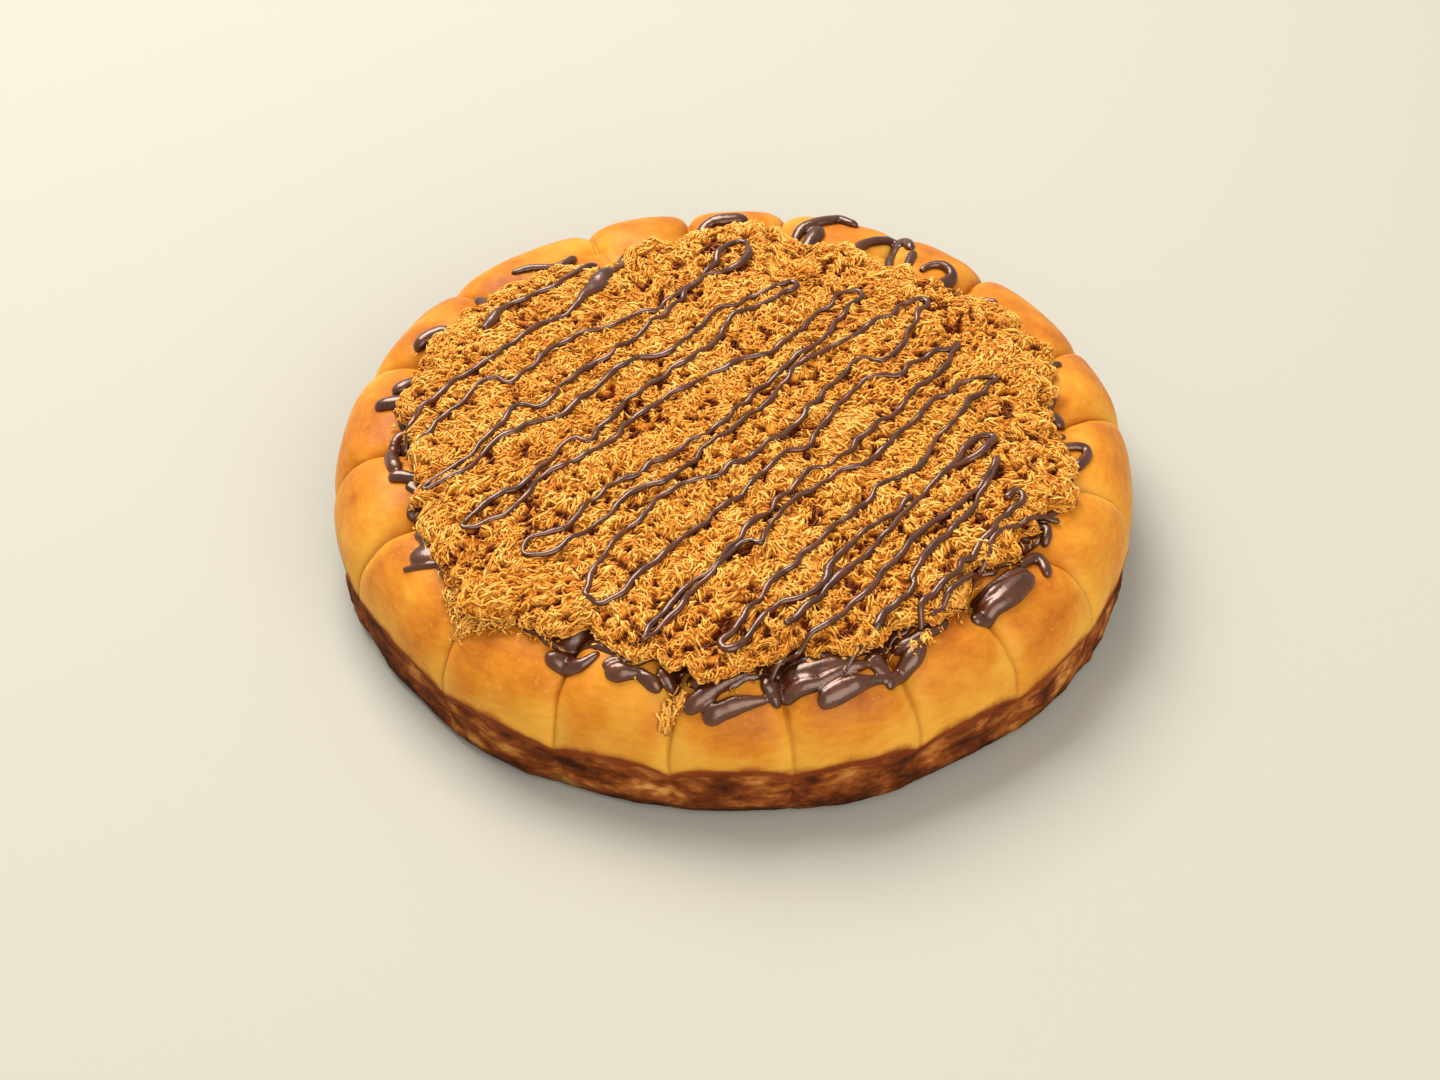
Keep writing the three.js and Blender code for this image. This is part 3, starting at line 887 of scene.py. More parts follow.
@dataclass(frozen=True)
class HeapForm:
    """The heap of shreds: an uneven round edge, a steep side and a nearly level top.

    The edge's radii are evenly spread round it. The profile's points are a share of the edge's
    radius and a height. A layer of noise is its strength, its size and its shift. Each hollow is
    an azimuth, a half-width in degrees and a depth, and one with a negative depth is a tongue.
    """

    edge_radii: tuple[float, ...] = (
        94, 100, 96, 90, 86, 86, 92, 87, 86, 93, 97, 98,
        97, 97, 99, 105, 102, 103.5, 106, 103, 100.5, 97, 98, 101,
    )
    profile: tuple[tuple[float, float], ...] = (
        (0.9, 43.4), (0.965, 43.6), (0.995, 45), (0.985, 46.8), (0.955, 48.4), (0.9, 49.8),
        (0.78, 50.8), (0.55, 51.3), (0.28, 51.4), (0, 51.4),
    )
    ragged: float = 3.8
    ragged_layers: Layers = ((1.0, 11, 2.2), (0.65, 4, 6.1))
    hollows: tuple[Triple, ...] = (
        (198.5, 2.0, 1.5),
        (228.5, 4.5, -7),
        (245.5, 1.8, 4),
        (263.5, 4.5, -4),
        (279.5, 1.8, 4.5),
        (309, 4, -3.5),
    )
    lump_height: float = 1.2
    lump_layers: Layers = ((0.75, 6.0, 3.1), (0.5, 2.52, 7.7))
    pit_depth: float = 1.2
    pit_layers: Layers = ((0.9, 2.0, 5.9), (0.22, 7.2, 1.8))
    pit_band: Pair = (0.21, 0.48)
    side_pits: float = 0.4
    pitted_heights: Pair = (45, 50.8)
    curve_step: float = 0.5
    slope_step: float = 0.004

    def edge(self, degrees: Array) -> Array:
        """Returns the edge's radius at azimuths: eased between the listed ones, ragged and hollowed.

        Args:
            degrees: The azimuths.

        Returns:
            The radius at each.
        """
        radii = np.array(self.edge_radii)
        place = (degrees % 360) / 360 * len(radii)
        start = np.floor(place).astype(int) % len(radii)
        even = radii[start] + (radii[(start + 1) % len(radii)] - radii[start]) * eased(place % 1)
        ragged = self.ragged * layered(around(even.mean(), degrees), self.ragged_layers)
        return even + ragged - self.hollow(degrees)

    def hollow(self, degrees: Array) -> Array:
        """Returns how far the edge draws back: the sum of depth e^(-(away / half-width)^2)."""
        azimuths, widths, depths = np.array(self.hollows).T
        away = (degrees[..., None] - azimuths + 180) % 360 - 180
        return (depths * np.exp(-((away / widths) ** 2))).sum(axis=-1)

    def curve(self, radius: float) -> Array:
        """Returns the profile as a smooth path of radii and heights, for an edge of that radius."""
        return smooth_path(np.array(self.profile) * (radius, 1), self.curve_step)

    def profile_at(self, climb: Array) -> tuple[Array, Array]:
        """Returns the share of the edge's radius and the height at a climb.

        Args:
            climb: The way along the profile by true distance, from 0 at its foot to 1 in the middle.

        Returns:
            The shares and the heights.
        """
        radius = np.mean(self.edge_radii)
        curve = self.curve(radius)
        shares = path_length(curve) / path_length(curve)[-1]
        return np.interp(climb, shares, curve[:, 0]) / radius, np.interp(climb, shares, curve[:, 1])

    def skin(self, degrees: Array, climb: Array) -> tuple[Array, Array]:
        """Returns points of the smooth skin and their outward directions.

        A direction is square to the step from the point to one a little further up.

        Args:
            degrees: The points' azimuths.
            climb: How far up the profile they are, 0 to 1.

        Returns:
            The points and the directions.
        """
        share, height = self.profile_at(climb)
        share_on, height_on = self.profile_at(climb + self.slope_step)
        edge = self.edge(degrees)
        inwards, upwards = (share - share_on) * edge, height_on - height
        length = np.hypot(inwards, upwards) + TINY
        return around(share * edge, degrees, height), around(upwards / length, degrees, inwards / length)

    def lumps(self, points: Array) -> Array:
        """Returns the soft lumps at points, -1 to 1: the sum of a broad and a fine noise."""
        return np.clip(layered(points, self.lump_layers), -1, 1)

    def pits(self, points: Array) -> Array:
        """Returns where the skin is pitted, 0 to 1: the steep peaks of a fine and a broad noise.

        The pits are shallower down the heap's side.

        Args:
            points: The places.

        Returns:
            The depth at each.
        """
        share = self.side_pits + (1 - self.side_pits) * ease_between(points[..., 2], *self.pitted_heights)
        return share * ease_between(layered(points, self.pit_layers), *self.pit_band)


# The pieces.


@dataclass
class Loaf:
    """The baked loaf: one closed skin of lobes, wall and underside.

    Insets are how far the wall is drawn in. A layer of noise is its strength, its size and its
    shift. Rise is 0 at the underside, 1 at the shoulder, 2 at the crest and more inside.
    """

    form: LoafForm = field(default_factory=LoafForm)
    columns: int = 40
    wall_rows: int = 36
    dome_rows: int = 44
    inner_radii: tuple[float, ...] = (96, 94, 92, 90, 88, 86, 83, 80, 75, 68, 58, 44, 28, 12)
    wall_inset: float = 1.5
    foot_inset: float = 5.0
    foot_share: float = 0.05
    lip_band: Pair = (0.7, 0.99)
    notch_fade: float = 0.6
    wall_strength: float = 0.75
    wall_stretch: Triple = (1, 1, 2.6)
    wall_layers: Layers = ((1.0, 8, 1.3), (0.55, 3.4, 2.9))
    lump_strength: float = 0.7
    lump_stretch: Triple = (1, 1, 2)
    lump_layers: Layers = ((1.0, 15, 5.1),)
    wall_start: Pair = (0.04, 0.16)
    wall_end: Pair = (0.8, 0.97)
    dome_strength: float = 0.35
    dome_layers: Layers = ((1.0, 14, 8.3), (0.3, 5, 4.4))
    dome_start: Pair = (1.0, 1.25)
    waver_layers: Layers = ((0.45, 5, 6.6),)
    waver_power: int = 8
    waver_start: Pair = (0, 0.2)
    middle_rise: float = 3.0
    middle_seam: float = 9.0

    @property
    def lobe(self) -> Array:
        """Each column's lobe."""
        return np.repeat(np.arange(self.form.lobes), self.columns)

    @property
    def across(self) -> Array:
        """Each column's place across its lobe: a sine of even steps, closer at the creases."""
        even = np.linspace(-1, 1, self.columns, endpoint=False)
        return np.tile(np.sin(np.pi / 2 * even), self.form.lobes)

    def wall(self) -> tuple[Array, Array, Array]:
        """Returns the wall's rows, from the underside up to the shoulder.

        At a share s of the shoulder's height the inset is wall + foot e^(-s / foot share), and it
        fades to none under the lip. The creases' notches fade towards the foot.

        Returns:
            The radii, the heights and the rise.
        """
        share = np.linspace(0, 1, self.wall_rows)[:, None]
        outer, _, shoulder = self.form.sizes(self.lobe, self.across)
        inset = self.wall_inset + self.foot_inset * np.exp(-share / self.foot_share)
        inset = inset * (1 - ease_between(share, *self.lip_band))
        inset = inset - self.notch_fade * self.form.notch(self.across) * (1 - share)
        return outer - inset, shoulder * share, np.broadcast_to(share, inset.shape)

    def dome(self) -> tuple[Array, Array, Array]:
        """Returns the domes' rows, from the shoulder to the crest by a quarter turn.

        Returns:
            The radii, the heights and the rise.
        """
        turn = np.linspace(0, 1, self.dome_rows + 1)[1:, None]
        outwards = np.cos(np.pi / 2 * turn)
        outer, _, _ = self.form.sizes(self.lobe, self.across)
        radius = self.form.crest_radius + outwards * (outer - self.form.crest_radius)
        height = self.form.dome(self.lobe, self.across, np.broadcast_to(outwards, radius.shape))
        return radius, height, np.broadcast_to(1 + turn, radius.shape)

    def inside(self) -> tuple[Array, Array, Array]:
        """Returns the rows inside the ring of lobes.

        Returns:
            The radii, the heights and the rise.
        """
        radii = np.array(self.inner_radii)[:, None]
        radius = np.broadcast_to(radii, (len(radii), len(self.lobe)))
        height = self.form.top(around(radius, self.form.azimuth(self.lobe, self.across, radius)))
        return radius, height, self.middle_rise - radius / self.form.crest_radius

    def relief(self, points: Array, rise: Array) -> Array:
        """Returns how far the skin stands out: level wrinkles on the wall, soft lumps above.

        Args:
            points: The skin's points.
            rise: Their rise.

        Returns:
            How far each stands out.
        """
        wrinkles = self.wall_strength * layered(points * self.wall_stretch, self.wall_layers)
        lumps = self.lump_strength * layered(points * self.lump_stretch, self.lump_layers)
        on_wall = ease_between(rise, *self.wall_start) * (1 - ease_between(rise, *self.wall_end))
        on_dome = ease_between(rise, *self.dome_start) * self.dome_strength
        return on_wall * (wrinkles + lumps) + on_dome * layered(points, self.dome_layers)

    def build(self) -> Piece:
        """Builds the loaf and gives it its crust.

        The skin stands out by its relief, and the creases waver sideways by a noise.

        Returns:
            The loaf.
        """
        radius, height, rise = map(np.concatenate, zip(self.wall(), self.dome(), self.inside()))
        azimuth = self.form.azimuth(self.lobe, self.across, radius)
        points = around(radius, azimuth, height)
        sideways = np.roll(points, -1, axis=1) - np.roll(points, 1, axis=1)
        outward = unit(np.cross(sideways, np.gradient(points, axis=0)))
        points = points + outward * self.relief(points, rise)[..., None]
        waver = layered(points, self.waver_layers) * np.abs(self.across) ** self.waver_power
        waver = waver * ease_between(rise, *self.waver_start)
        points[..., :2] += square_to(around(1.0, azimuth)) * waver[..., None]
        points = np.clip(points, np.array(cad_low) / MM, np.array(cad_high) / MM)
        points[0, :, 2] = 0
        piece = make_dome("loaf", points, (0, 0, 0), (0, 0, self.form.inner_floor))
        width = np.radians(self.form.lobe_width(self.lobe, radius))
        seam = (1 - np.abs(self.across)) * width / 2 * radius
        add_measure(piece, "rise", np.concatenate([[0], rise.ravel(), [self.middle_rise]]))
        add_measure(piece, "seam", np.concatenate([[self.middle_seam], seam.ravel(), [self.middle_seam]]))
        settle(piece, CrustFinish().material(), "crust", "bun")
        return piece


@dataclass
class Spread:
    """The chocolate hazelnut spread: a sheet under the shreds that runs out in fingers.

    Each finger is its width at the start, its width at the end, and its path in plan. Most start
    under the shreds. Pools are given the same way and are lower. Those that touch flow together.
    A layer of noise is its strength, its size and its shift.
    """

    finish: bpy.types.Material
    loaf: LoafForm = field(default_factory=LoafForm)
    heap: HeapForm = field(default_factory=HeapForm)
    tallest: float = 2.4
    pool_height: float = 1.5
    sides: int = 14
    step: float = 0.5
    end_length: float = 1.7
    widening: float = 0.75
    swing: float = 0.14
    swing_length: float = 4.0
    side_reach: float = 0.3
    ground_reach: int = 6
    tilt: float = 0.6
    lift: float = 0.25
    cell: float = 0.46
    softening: float = 0.5
    softenings: int = 3
    sheet_columns: int = 900
    level_rows: int = 14
    round_rows: int = 8
    thickness: float = 1.2
    edge_round: float = 1.4
    edge_drop: float = 4.0
    drop_band: Pair = (0.8, 1)
    inner_radius: float = 74.0
    # Partly painted shade: how far the sheet shows past the heap's edge, by a slow noise, and how much of the
    # heap's hollows it fills.
    rim: float = 0.5
    peek_layers: Layers = ((2.4, 9, 3.3),)
    hollow_fill: float = 0.7
    fingers: tuple = (
        (2.5, 4.7, (7, -101), (1, -104), (-4, -106.5), (-8, -109), (-14, -112)),
        (2.2, 5.2, (9, -109.4), (5, -110.4), (0, -111.4), (-4.4, -112.7), (-9, -114)),
        (5.0, 6.6, (7.5, -103), (9.5, -106.5), (10.6, -109)),
        (6.0, 3.6, (9.8, -107), (10.8, -109.6), (11.3, -111.4)),
        (4.8, 2.6, (12, -108.5), (15.1, -107.4), (18, -106.7), (21.9, -106.1), (25.8, -104), (29.7, -101.9),
         (33.6, -100.6), (36, -99.1)),
        (2.3, 2.3, (14.2, -104.7), (19.3, -104.3), (23.2, -102.5), (25.8, -101.3)),
        (2.2, 5.5, (42.1, -102.3), (39.2, -103.1), (35.6, -104.3), (31.6, -105.9), (27.6, -107.9),
         (22, -110.9)),
        (2.8, 5.2, (41, -105), (43, -101.4), (45.4, -98.2), (48.4, -95.2), (51.4, -91.5)),
        (5.8, 2.8, (36, -96), (38.4, -98), (40, -101)),
        (2.3, 2.9, (34, -92), (31.8, -96.2), (28.7, -97.2), (29.2, -99.8), (32.2, -100.8), (36, -99.4)),
        (5.5, 6.8, (65, -82.5), (70, -77.3), (73.6, -74.6), (77.4, -70.6), (81.3, -66), (83, -64.3)),
        (3.8, 3.8, (66, -77), (70.5, -73), (75, -69.5), (79, -66)),
        (2.4, 2.8, (65, -74.5), (70, -70.6), (74.2, -67), (78.2, -64.2), (82, -63.6)),
        (2.4, 5.8, (-36.5, -96), (-41, -98.6), (-43.6, -98.3), (-46.4, -96), (-49.4, -95.4), (-52, -95)),
        (2.5, 5.0, (-23, -103.6), (-28.8, -103), (-32.6, -102.6), (-35.5, -102.4)),
        (2.0, 2.4, (-25, -98.8), (-30.6, -99), (-33.7, -99.4), (-36, -101)),
        (3.2, 4.0, (-27, -103.3), (-23.8, -104.8), (-21.4, -106.6), (-20.2, -108)),
        (4.4, 3.6, (-21, -101.5), (-18, -104.6), (-16.4, -107)),
        (3.3, 3.8, (79, -62), (84, -57), (86, -58), (87, -61), (87, -64)),
        (2.5, 3.0, (80, -48), (86, -46), (88, -46.6), (88, -49), (87, -52)),
        (3.2, 4.1, (84, -44), (87, -41), (90, -38.4), (94, -36.6), (98, -35)),
        (2.3, 2.5, (82, -39), (86, -35.5), (89, -37)),
        (2.3, 3.4, (90, -17), (92, -15), (94, -12), (98, -10.6), (102, -10.4), (103, -12),
         (102, -15), (98.6, -19.5)),
        (5.0, 5.5, (88, 6), (94, 4), (97, 0)),
        (1.8, 2.2, (86, -7), (94, -5.4), (97.5, -5.4)),
        (2.3, 2.5, (91, 18), (94, 21), (96, 26), (99, 27)),
        (1.8, 2.1, (73, 58), (77, 60.4), (82, 58)),
        (2.5, 4.1, (58, 72), (62, 75), (66, 75), (68.4, 71.6), (66.4, 68), (62, 65)),
        (3.2, 3.6, (34, 76), (38, 84), (41, 88), (46, 91.4), (51, 94), (55, 90), (56, 84)),
        (3.9, 3.0, (52, 92), (51, 88), (49, 80), (49, 70)),
        (3.6, 3.0, (57, 83), (55, 77), (53, 70)),
        (3.4, 4.1, (14, 80), (18, 87), (21, 95), (25, 98), (30, 100.5), (34, 103), (40, 99)),
        (5.0, 5.5, (20, 80), (24, 88), (28, 96)),
        (3.9, 5.0, (-10, 84), (-9, 97), (5, 100)),
        (3.4, 4.6, (-5, 84), (5, 97)),
        (4.6, 5.9, (-36, 73), (-33, 81), (-25, 84)),
        (2.6, 3.0, (-69.7, 73.3), (-63.3, 75.2), (-57, 75.6), (-52.3, 78.2), (-49.6, 82.4)),
        (4.8, 6.2, (-74, 52), (-79, 64)),
        (3.4, 5.2, (-80, 40), (-86, 40.6), (-89, 41), (-93, 39.4), (-97, 35.6)),
        (3.9, 5.0, (-88, 21), (-94, 19), (-98, 16.6), (-102, 14)),
        (3.4, 5.2, (-88, 8), (-95, 8), (-98, 9), (-107, 9)),
        (3.2, 4.8, (-92, -3), (-98, -4), (-99.8, -9), (-99.4, -17), (-97, -23)),
        (3.9, 4.6, (-86, -26), (-92, -26), (-96, -25), (-100, -25)),
        (2.4, 2.0, (-79, -61), (-86, -60.8), (-93.4, -59.4)),
    )
    pools: tuple = (
        (9.5, 8.0, (-78, -56.4), (-84, -56.4), (-91.6, -57)),
        (5.0, 4.0, (42, -93), (48, -91), (54, -87), (58, -83)),
        (6.0, 5.0, (35, -97), (38.6, -99.4), (41.4, -102.4)),
        (4.6, 4.6, (11, -104.6), (16.5, -105), (22.5, -103.4)),
        (4.6, 4.4, (12, -102.8), (19, -102), (25.4, -100.4), (31.4, -98.4)),
        (5.2, 4.6, (-13.4, -104), (-10, -105), (-6, -105)),
    )

    def finger(self, row: tuple, tallest: float) -> Array:
        """Returns the points of one finger or pool, laid on the loaf.

        The width eases from the start's to the end's and swings a little, and both ends are
        oval. A wide finger is flatter than a narrow one. The finger bridges creases: it lies on
        the loaf's height below it, or on the mean height below its two sides where that is more.
        It tilts part of the way with the slope of the loaf.

        Args:
            row: Its width at the start, its width at the end, and its path in plan.
            tallest: The most that half its height may be.

        Returns:
            The points, as tube_points gives them.
        """
        start, end, *corners = row
        plan = smooth_path(np.array(corners, dtype=float), self.step)
        along = path_length(plan)
        ahead = np.gradient(plan, axis=0)
        reach = self.side_reach * max(start, end)
        aside = reach * square_to(ahead) / np.linalg.norm(ahead, axis=1, keepdims=True)
        left, right = self.loaf.top(plan + aside), self.loaf.top(plan - aside)
        ground = smoothed(np.maximum(self.loaf.top(plan), (left + right) / 2), self.ground_reach)
        slope = self.tilt * smoothed(np.clip((left - right) / (2 * reach), -1, 1), self.ground_reach)
        swing = 1 + self.swing * smooth_noise(raised(plan), self.swing_length)
        full = (start + (end - start) * ease_between(along / along[-1], 0, self.widening)) / 2 * swing
        radius = round_ends(full, along, self.end_length)
        squeeze = np.minimum(1, tallest / full)
        centres = raised(plan, ground + full * squeeze * self.lift)
        return tube_points(centres[None], radius[None], (radius * squeeze)[None], self.sides, slope[None])[0]

    def build_sheet(self) -> Piece:
        """Builds the sheet, draped over the lobes' crests below the heap's edge.

        It is a ring whose outer edge follows the heap's, goes in and out of it by a slow noise,
        and partly fills its hollows. Where it shows past the heap's edge and in the hollows, the
        dark band is partly real spread and partly painted shade under the heap. Its rows run out
        over its top, round its edge by a quarter circle, and back below.

        Returns:
            The sheet.
        """
        degrees = np.linspace(0, 360, self.sheet_columns, endpoint=False)
        edge = self.heap.edge(degrees)
        # Partly painted shade: the sheet shows past the heap's edge and fills its hollows as a dark band
        # under the heap.
        peeking = self.rim + layered(around(edge, degrees), self.peek_layers)
        edge = edge + peeking + self.hollow_fill * self.heap.hollow(degrees)
        shares = np.linspace(0, 1, self.level_rows)[:, None]
        turn = np.linspace(0, np.pi / 2, self.round_rows)[1:, None]
        inner = self.inner_radius + (edge - self.edge_round - self.inner_radius) * shares
        rounding = edge - self.edge_round * (1 - np.sin(turn))
        plan = around(np.concatenate([inner, rounding]), degrees)[..., :2]
        ground = self.loaf.top(plan)
        drop = self.edge_drop * ease_between(np.concatenate([shares, np.ones_like(turn)]), *self.drop_band)
        full = np.maximum(self.thickness, self.heap.profile[0][1] - drop - ground)
        top = raised(plan, ground + full * np.concatenate([np.ones_like(shares), np.cos(turn)]))
        ring = np.concatenate([top, raised(plan, ground - self.thickness * 2)[::-1]])
        here = np.arange(ring[..., 0].size).reshape(ring.shape[:2])
        over, beside = np.roll(here, -1, axis=0), np.roll(here, -1, axis=1)
        faces = np.stack([here, over, np.roll(over, -1, axis=1), beside], axis=-1).reshape(-1, 4)
        piece = make_mesh("spread_sheet", ring.reshape(-1, 3), faces)
        settle(piece, self.finish, "chocolate", "spread")
        return piece

    def build_fingers(self) -> Piece:
        """Builds the fingers and pools, which flow together into one skin."""
        fingers = [self.finger(row, self.tallest) for row in self.fingers]
        pools = [self.finger(row, self.pool_height) for row in self.pools]
        piece = make_tubes("spread_fingers", fingers + pools, self.sides)
        flow = piece.modifiers.new("flow", "REMESH")
        flow.mode = "VOXEL"
        flow.voxel_size = self.cell * MM
        flow.use_smooth_shade = True
        soften = piece.modifiers.new("soften", "SMOOTH")
        soften.factor = self.softening
        soften.iterations = self.softenings
        apply_modifiers(piece)
        settle(piece, self.finish, "chocolate", "spread")
        return piece

    def build(self) -> list[Piece]:
        """Builds the sheet and its fingers."""
        return [self.build_sheet(), self.build_fingers()]


@dataclass
class FlossHeap:
    """The heap of golden shreds: a pitted core, darkened in its pits by painted shade, under thousands of
    fine curled shreds.

    A tuft is its place in plan, its reach, its thickness and how many shreds it has. A range is
    the least and the most of a number that is drawn, and a scatter is its usual distance from 0.
    """

    form: HeapForm = field(default_factory=HeapForm)
    loaf: LoafForm = field(default_factory=LoafForm)
    ceiling: float = 54.1
    core_columns: int = 640
    core_rows: int = 150
    core_top: float = 0.985
    core_sink: float = 0.35
    core_foot: float = 0.03
    grain_size: float = 1.5
    grain_shift: float = 9.2
    grain_height: float = 0.3
    # Weights of the core's lift, which its finish paints as shade and light: a base, then the lumps, the pits
    # and the grain.
    core_shade_weights: tuple[float, ...] = (0.62, 0.2, -0.7, 0.15)
    crown_shade: float = 0.5
    first_seed: int = 100
    shreds_of_a_kind: int = 10400
    surplus: float = 1.5
    shred_points: int = 5
    shred_sides: int = 3
    shortest: float = 1.8
    longest: float = 5.8
    thinnest: float = 0.26
    thickest: float = 0.58
    flatness: float = 0.45
    taper_band: Pair = (0.12, 0.88)
    taper_power: float = 0.6
    bend_scatter: float = 0.6
    swing_range: Pair = (0.1, 0.7)
    swing_beat: float = 4.2
    climb_steps: int = 400
    side_climb: float = 0.16
    side_surplus: float = 0.35
    climb_radius: float = 98.0
    least_radius: float = 6.0
    tuft_size: float = 9.0
    tuft_shift: float = 4.9
    heading_scatter: float = 1.1
    base_range: Pair = (-0.35, 0.45)
    tilt_scatter: float = 0.4
    arch_range: Pair = (-0.15, 0.55)
    pit_bridging: float = 2.4
    pit_sink: float = 1.15
    # Weights of the shreds' lift, which their finish paints as shade and light: a base, then the height over
    # the skin, the lumps and the pits.
    heap_shade_weights: tuple[float, ...] = (0.58, 0.22, 0.3, -0.6)
    loose_share: float = 0.25
    strays: int = 110
    stray_inset: float = 2.0
    stray_scatter: float = 2.0
    stray_reach: float = 0.5
    stray_thickness: float = 1.8
    loose_heading: float = 1.4
    loose_spread: float = 0.7
    loose_curl: float = 0.6
    loose_rise: Pair = (0.3, 1)
    loose_scatter: float = 0.25
    # The loose shreds' painted shade: a base and the weight of their height over the loaf.
    loose_shade: Pair = (0.3, 0.22)
    reach: float = 118.4
    tufts: tuple[tuple[float, float, float, float, int], ...] = (
        (-15.6, -109.6, 1.4, 2.8, 76),
        (-17.8, -111.8, 1.1, 2.4, 64),
        (-19.4, -113.4, 0.8, 1.8, 40),
        (-76, -74, 2.6, 4.0, 160),
        (-75, -79, 2.2, 4.0, 140),
        (-73.4, -82.6, 1.4, 3.0, 80),
        (-68.5, -81.5, 2.6, 3.4, 140),
        (-62.5, -83.6, 2.2, 3.0, 80),
        (52, -91, 1.2, 2.8, 40),
        (48.5, -94.5, 1.2, 3.4, 28),
    )

    @property
    def along(self) -> Array:
        """The places along a shred, from -1 at its start to 1 at its end."""
        return np.linspace(-1, 1, self.shred_points)

    def build_core(self) -> Piece:
        """Builds the core: the heap's lumpy skin a little lower, with deep pits in it.

        Its lift is a base and the lumps, the pits and the grain, each times its weight. Its
        finish paints shade and light with it: darker in the pits, lighter on the lumps.

        Returns:
            The core.
        """
        degrees = np.linspace(0, 360, self.core_columns, endpoint=False)
        turns, climbs = np.meshgrid(degrees, np.linspace(0, self.core_top, self.core_rows))
        smooth, outward = self.form.skin(turns, climbs)
        lumps, pits = self.form.lumps(smooth), self.form.pits(smooth)
        grain = smooth_noise(smooth, self.grain_size, self.grain_shift)
        height = self.form.lump_height * lumps - self.form.pit_depth * pits - self.core_sink
        height = (height + self.grain_height * grain) * ease_between(climbs, 0, self.core_foot)
        points = smooth + outward * height[..., None]
        foot = (0, 0, self.form.profile[0][1])
        piece = make_dome("floss_core", points, foot, points[-1].mean(axis=0))
        # Painted shade and light: the core's lift is low in the pits and high on the lumps.
        base, of_lumps, of_pits, of_grain = self.core_shade_weights
        lift = base + of_lumps * lumps + of_pits * pits + of_grain * grain
        add_measure(piece, "lift", np.concatenate([[0], lift.ravel(), [self.crown_shade]]))
        settle(piece, CoreFinish().material(), "floss", "floss")
        return piece

    def curls(self, draw: np.random.Generator, heading: Array) -> tuple[Array, Array]:
        """Returns how far each point of each shred lies from its middle, along two level axes.

        A shred's heading turns evenly along it and swings once or twice, and its points are the
        running sum of steps in that heading.

        Args:
            draw: Where random numbers come from.
            heading: Each shred's heading at its middle, in radians.

        Returns:
            The ways along the first and the second axis, one row a shred.
        """
        count = len(heading)
        length = draw.uniform(self.shortest, self.longest, (count, 1))
        bend = draw.normal(0, self.bend_scatter, (count, 1))
        swing = draw.uniform(*self.swing_range, (count, 1))
        phase = draw.uniform(0, 2 * np.pi, (count, 1))
        turned = heading[:, None] + bend * self.along + swing * np.sin(self.swing_beat * self.along + phase)
        step = length / (self.shred_points - 1)
        first = np.cumsum(np.cos(turned), axis=1) * step
        second = np.cumsum(np.sin(turned), axis=1) * step
        return first - first.mean(axis=1, keepdims=True), second - second.mean(axis=1, keepdims=True)

    def heap_shreds(self, draw: np.random.Generator, wanted: int) -> tuple[Array, Array]:
        """Returns the points of shreds spread over the heap, and the lift of each point.

        The climb is drawn so that every part of the skin gets its share of shreds, with a few
        more at the side. Shreds near one another head much the same way, as tufts do. More are
        drawn than are kept. Those that would cross a pit are mostly left out, and the rest sink
        into it. The lift is a base and the height over the skin, the lumps and the pits, each
        times its weight. Its finish paints shade and light with it: shreds that lie low or in
        the pits are darker, those high on the lumps lighter.

        Args:
            draw: Where random numbers come from.
            wanted: How many shreds to keep.

        Returns:
            The points and the lift, one row a shred.
        """
        count = int(wanted * self.surplus)
        steps = np.linspace(0, 1, self.climb_steps)
        share, _ = self.form.profile_at(steps)
        weight = np.cumsum(share + self.side_surplus * (steps < self.side_climb))
        climb = np.interp(draw.uniform(0, 1, count), weight / weight[-1], steps)
        degrees = draw.uniform(0, 360, count)
        middle, _ = self.form.skin(degrees, climb)
        turned = 2 * np.pi * smooth_noise(middle, self.tuft_size, self.tuft_shift)
        level, upward = self.curls(draw, turned + draw.normal(0, self.heading_scatter, count))
        radius = np.maximum(np.hypot(middle[:, 0], middle[:, 1]), self.least_radius)[:, None]
        turns = degrees[:, None] + np.degrees(level / radius)
        climbs = climb[:, None] + upward / path_length(self.form.curve(self.climb_radius))[-1]
        lift = draw.uniform(*self.base_range, (count, 1))
        lift = lift + draw.normal(0, self.tilt_scatter, (count, 1)) * self.along
        lift = lift + draw.uniform(*self.arch_range, (count, 1)) * (1 - self.along**2)
        climbs = np.clip(np.where(climbs > 1, 2 - climbs, climbs), 0, 1)
        smooth, outward = self.form.skin(turns, climbs)
        lumps, pits = self.form.lumps(smooth), self.form.pits(smooth)
        height = self.form.lump_height * lumps + (lift - self.pit_sink * pits)
        points = smooth + outward * height[..., None]
        kept = np.argsort(pits.max(axis=1) + draw.uniform(0, self.pit_bridging, count))[:wanted]
        # Painted shade and light: the lift is low for shreds deep down or in pits, high for those on lumps.
        base, of_lift, of_lumps, of_pits = self.heap_shade_weights
        lift = np.clip(base + of_lift * lift + of_lumps * lumps + of_pits * pits, 0, 1)
        return points[kept], lift[kept]

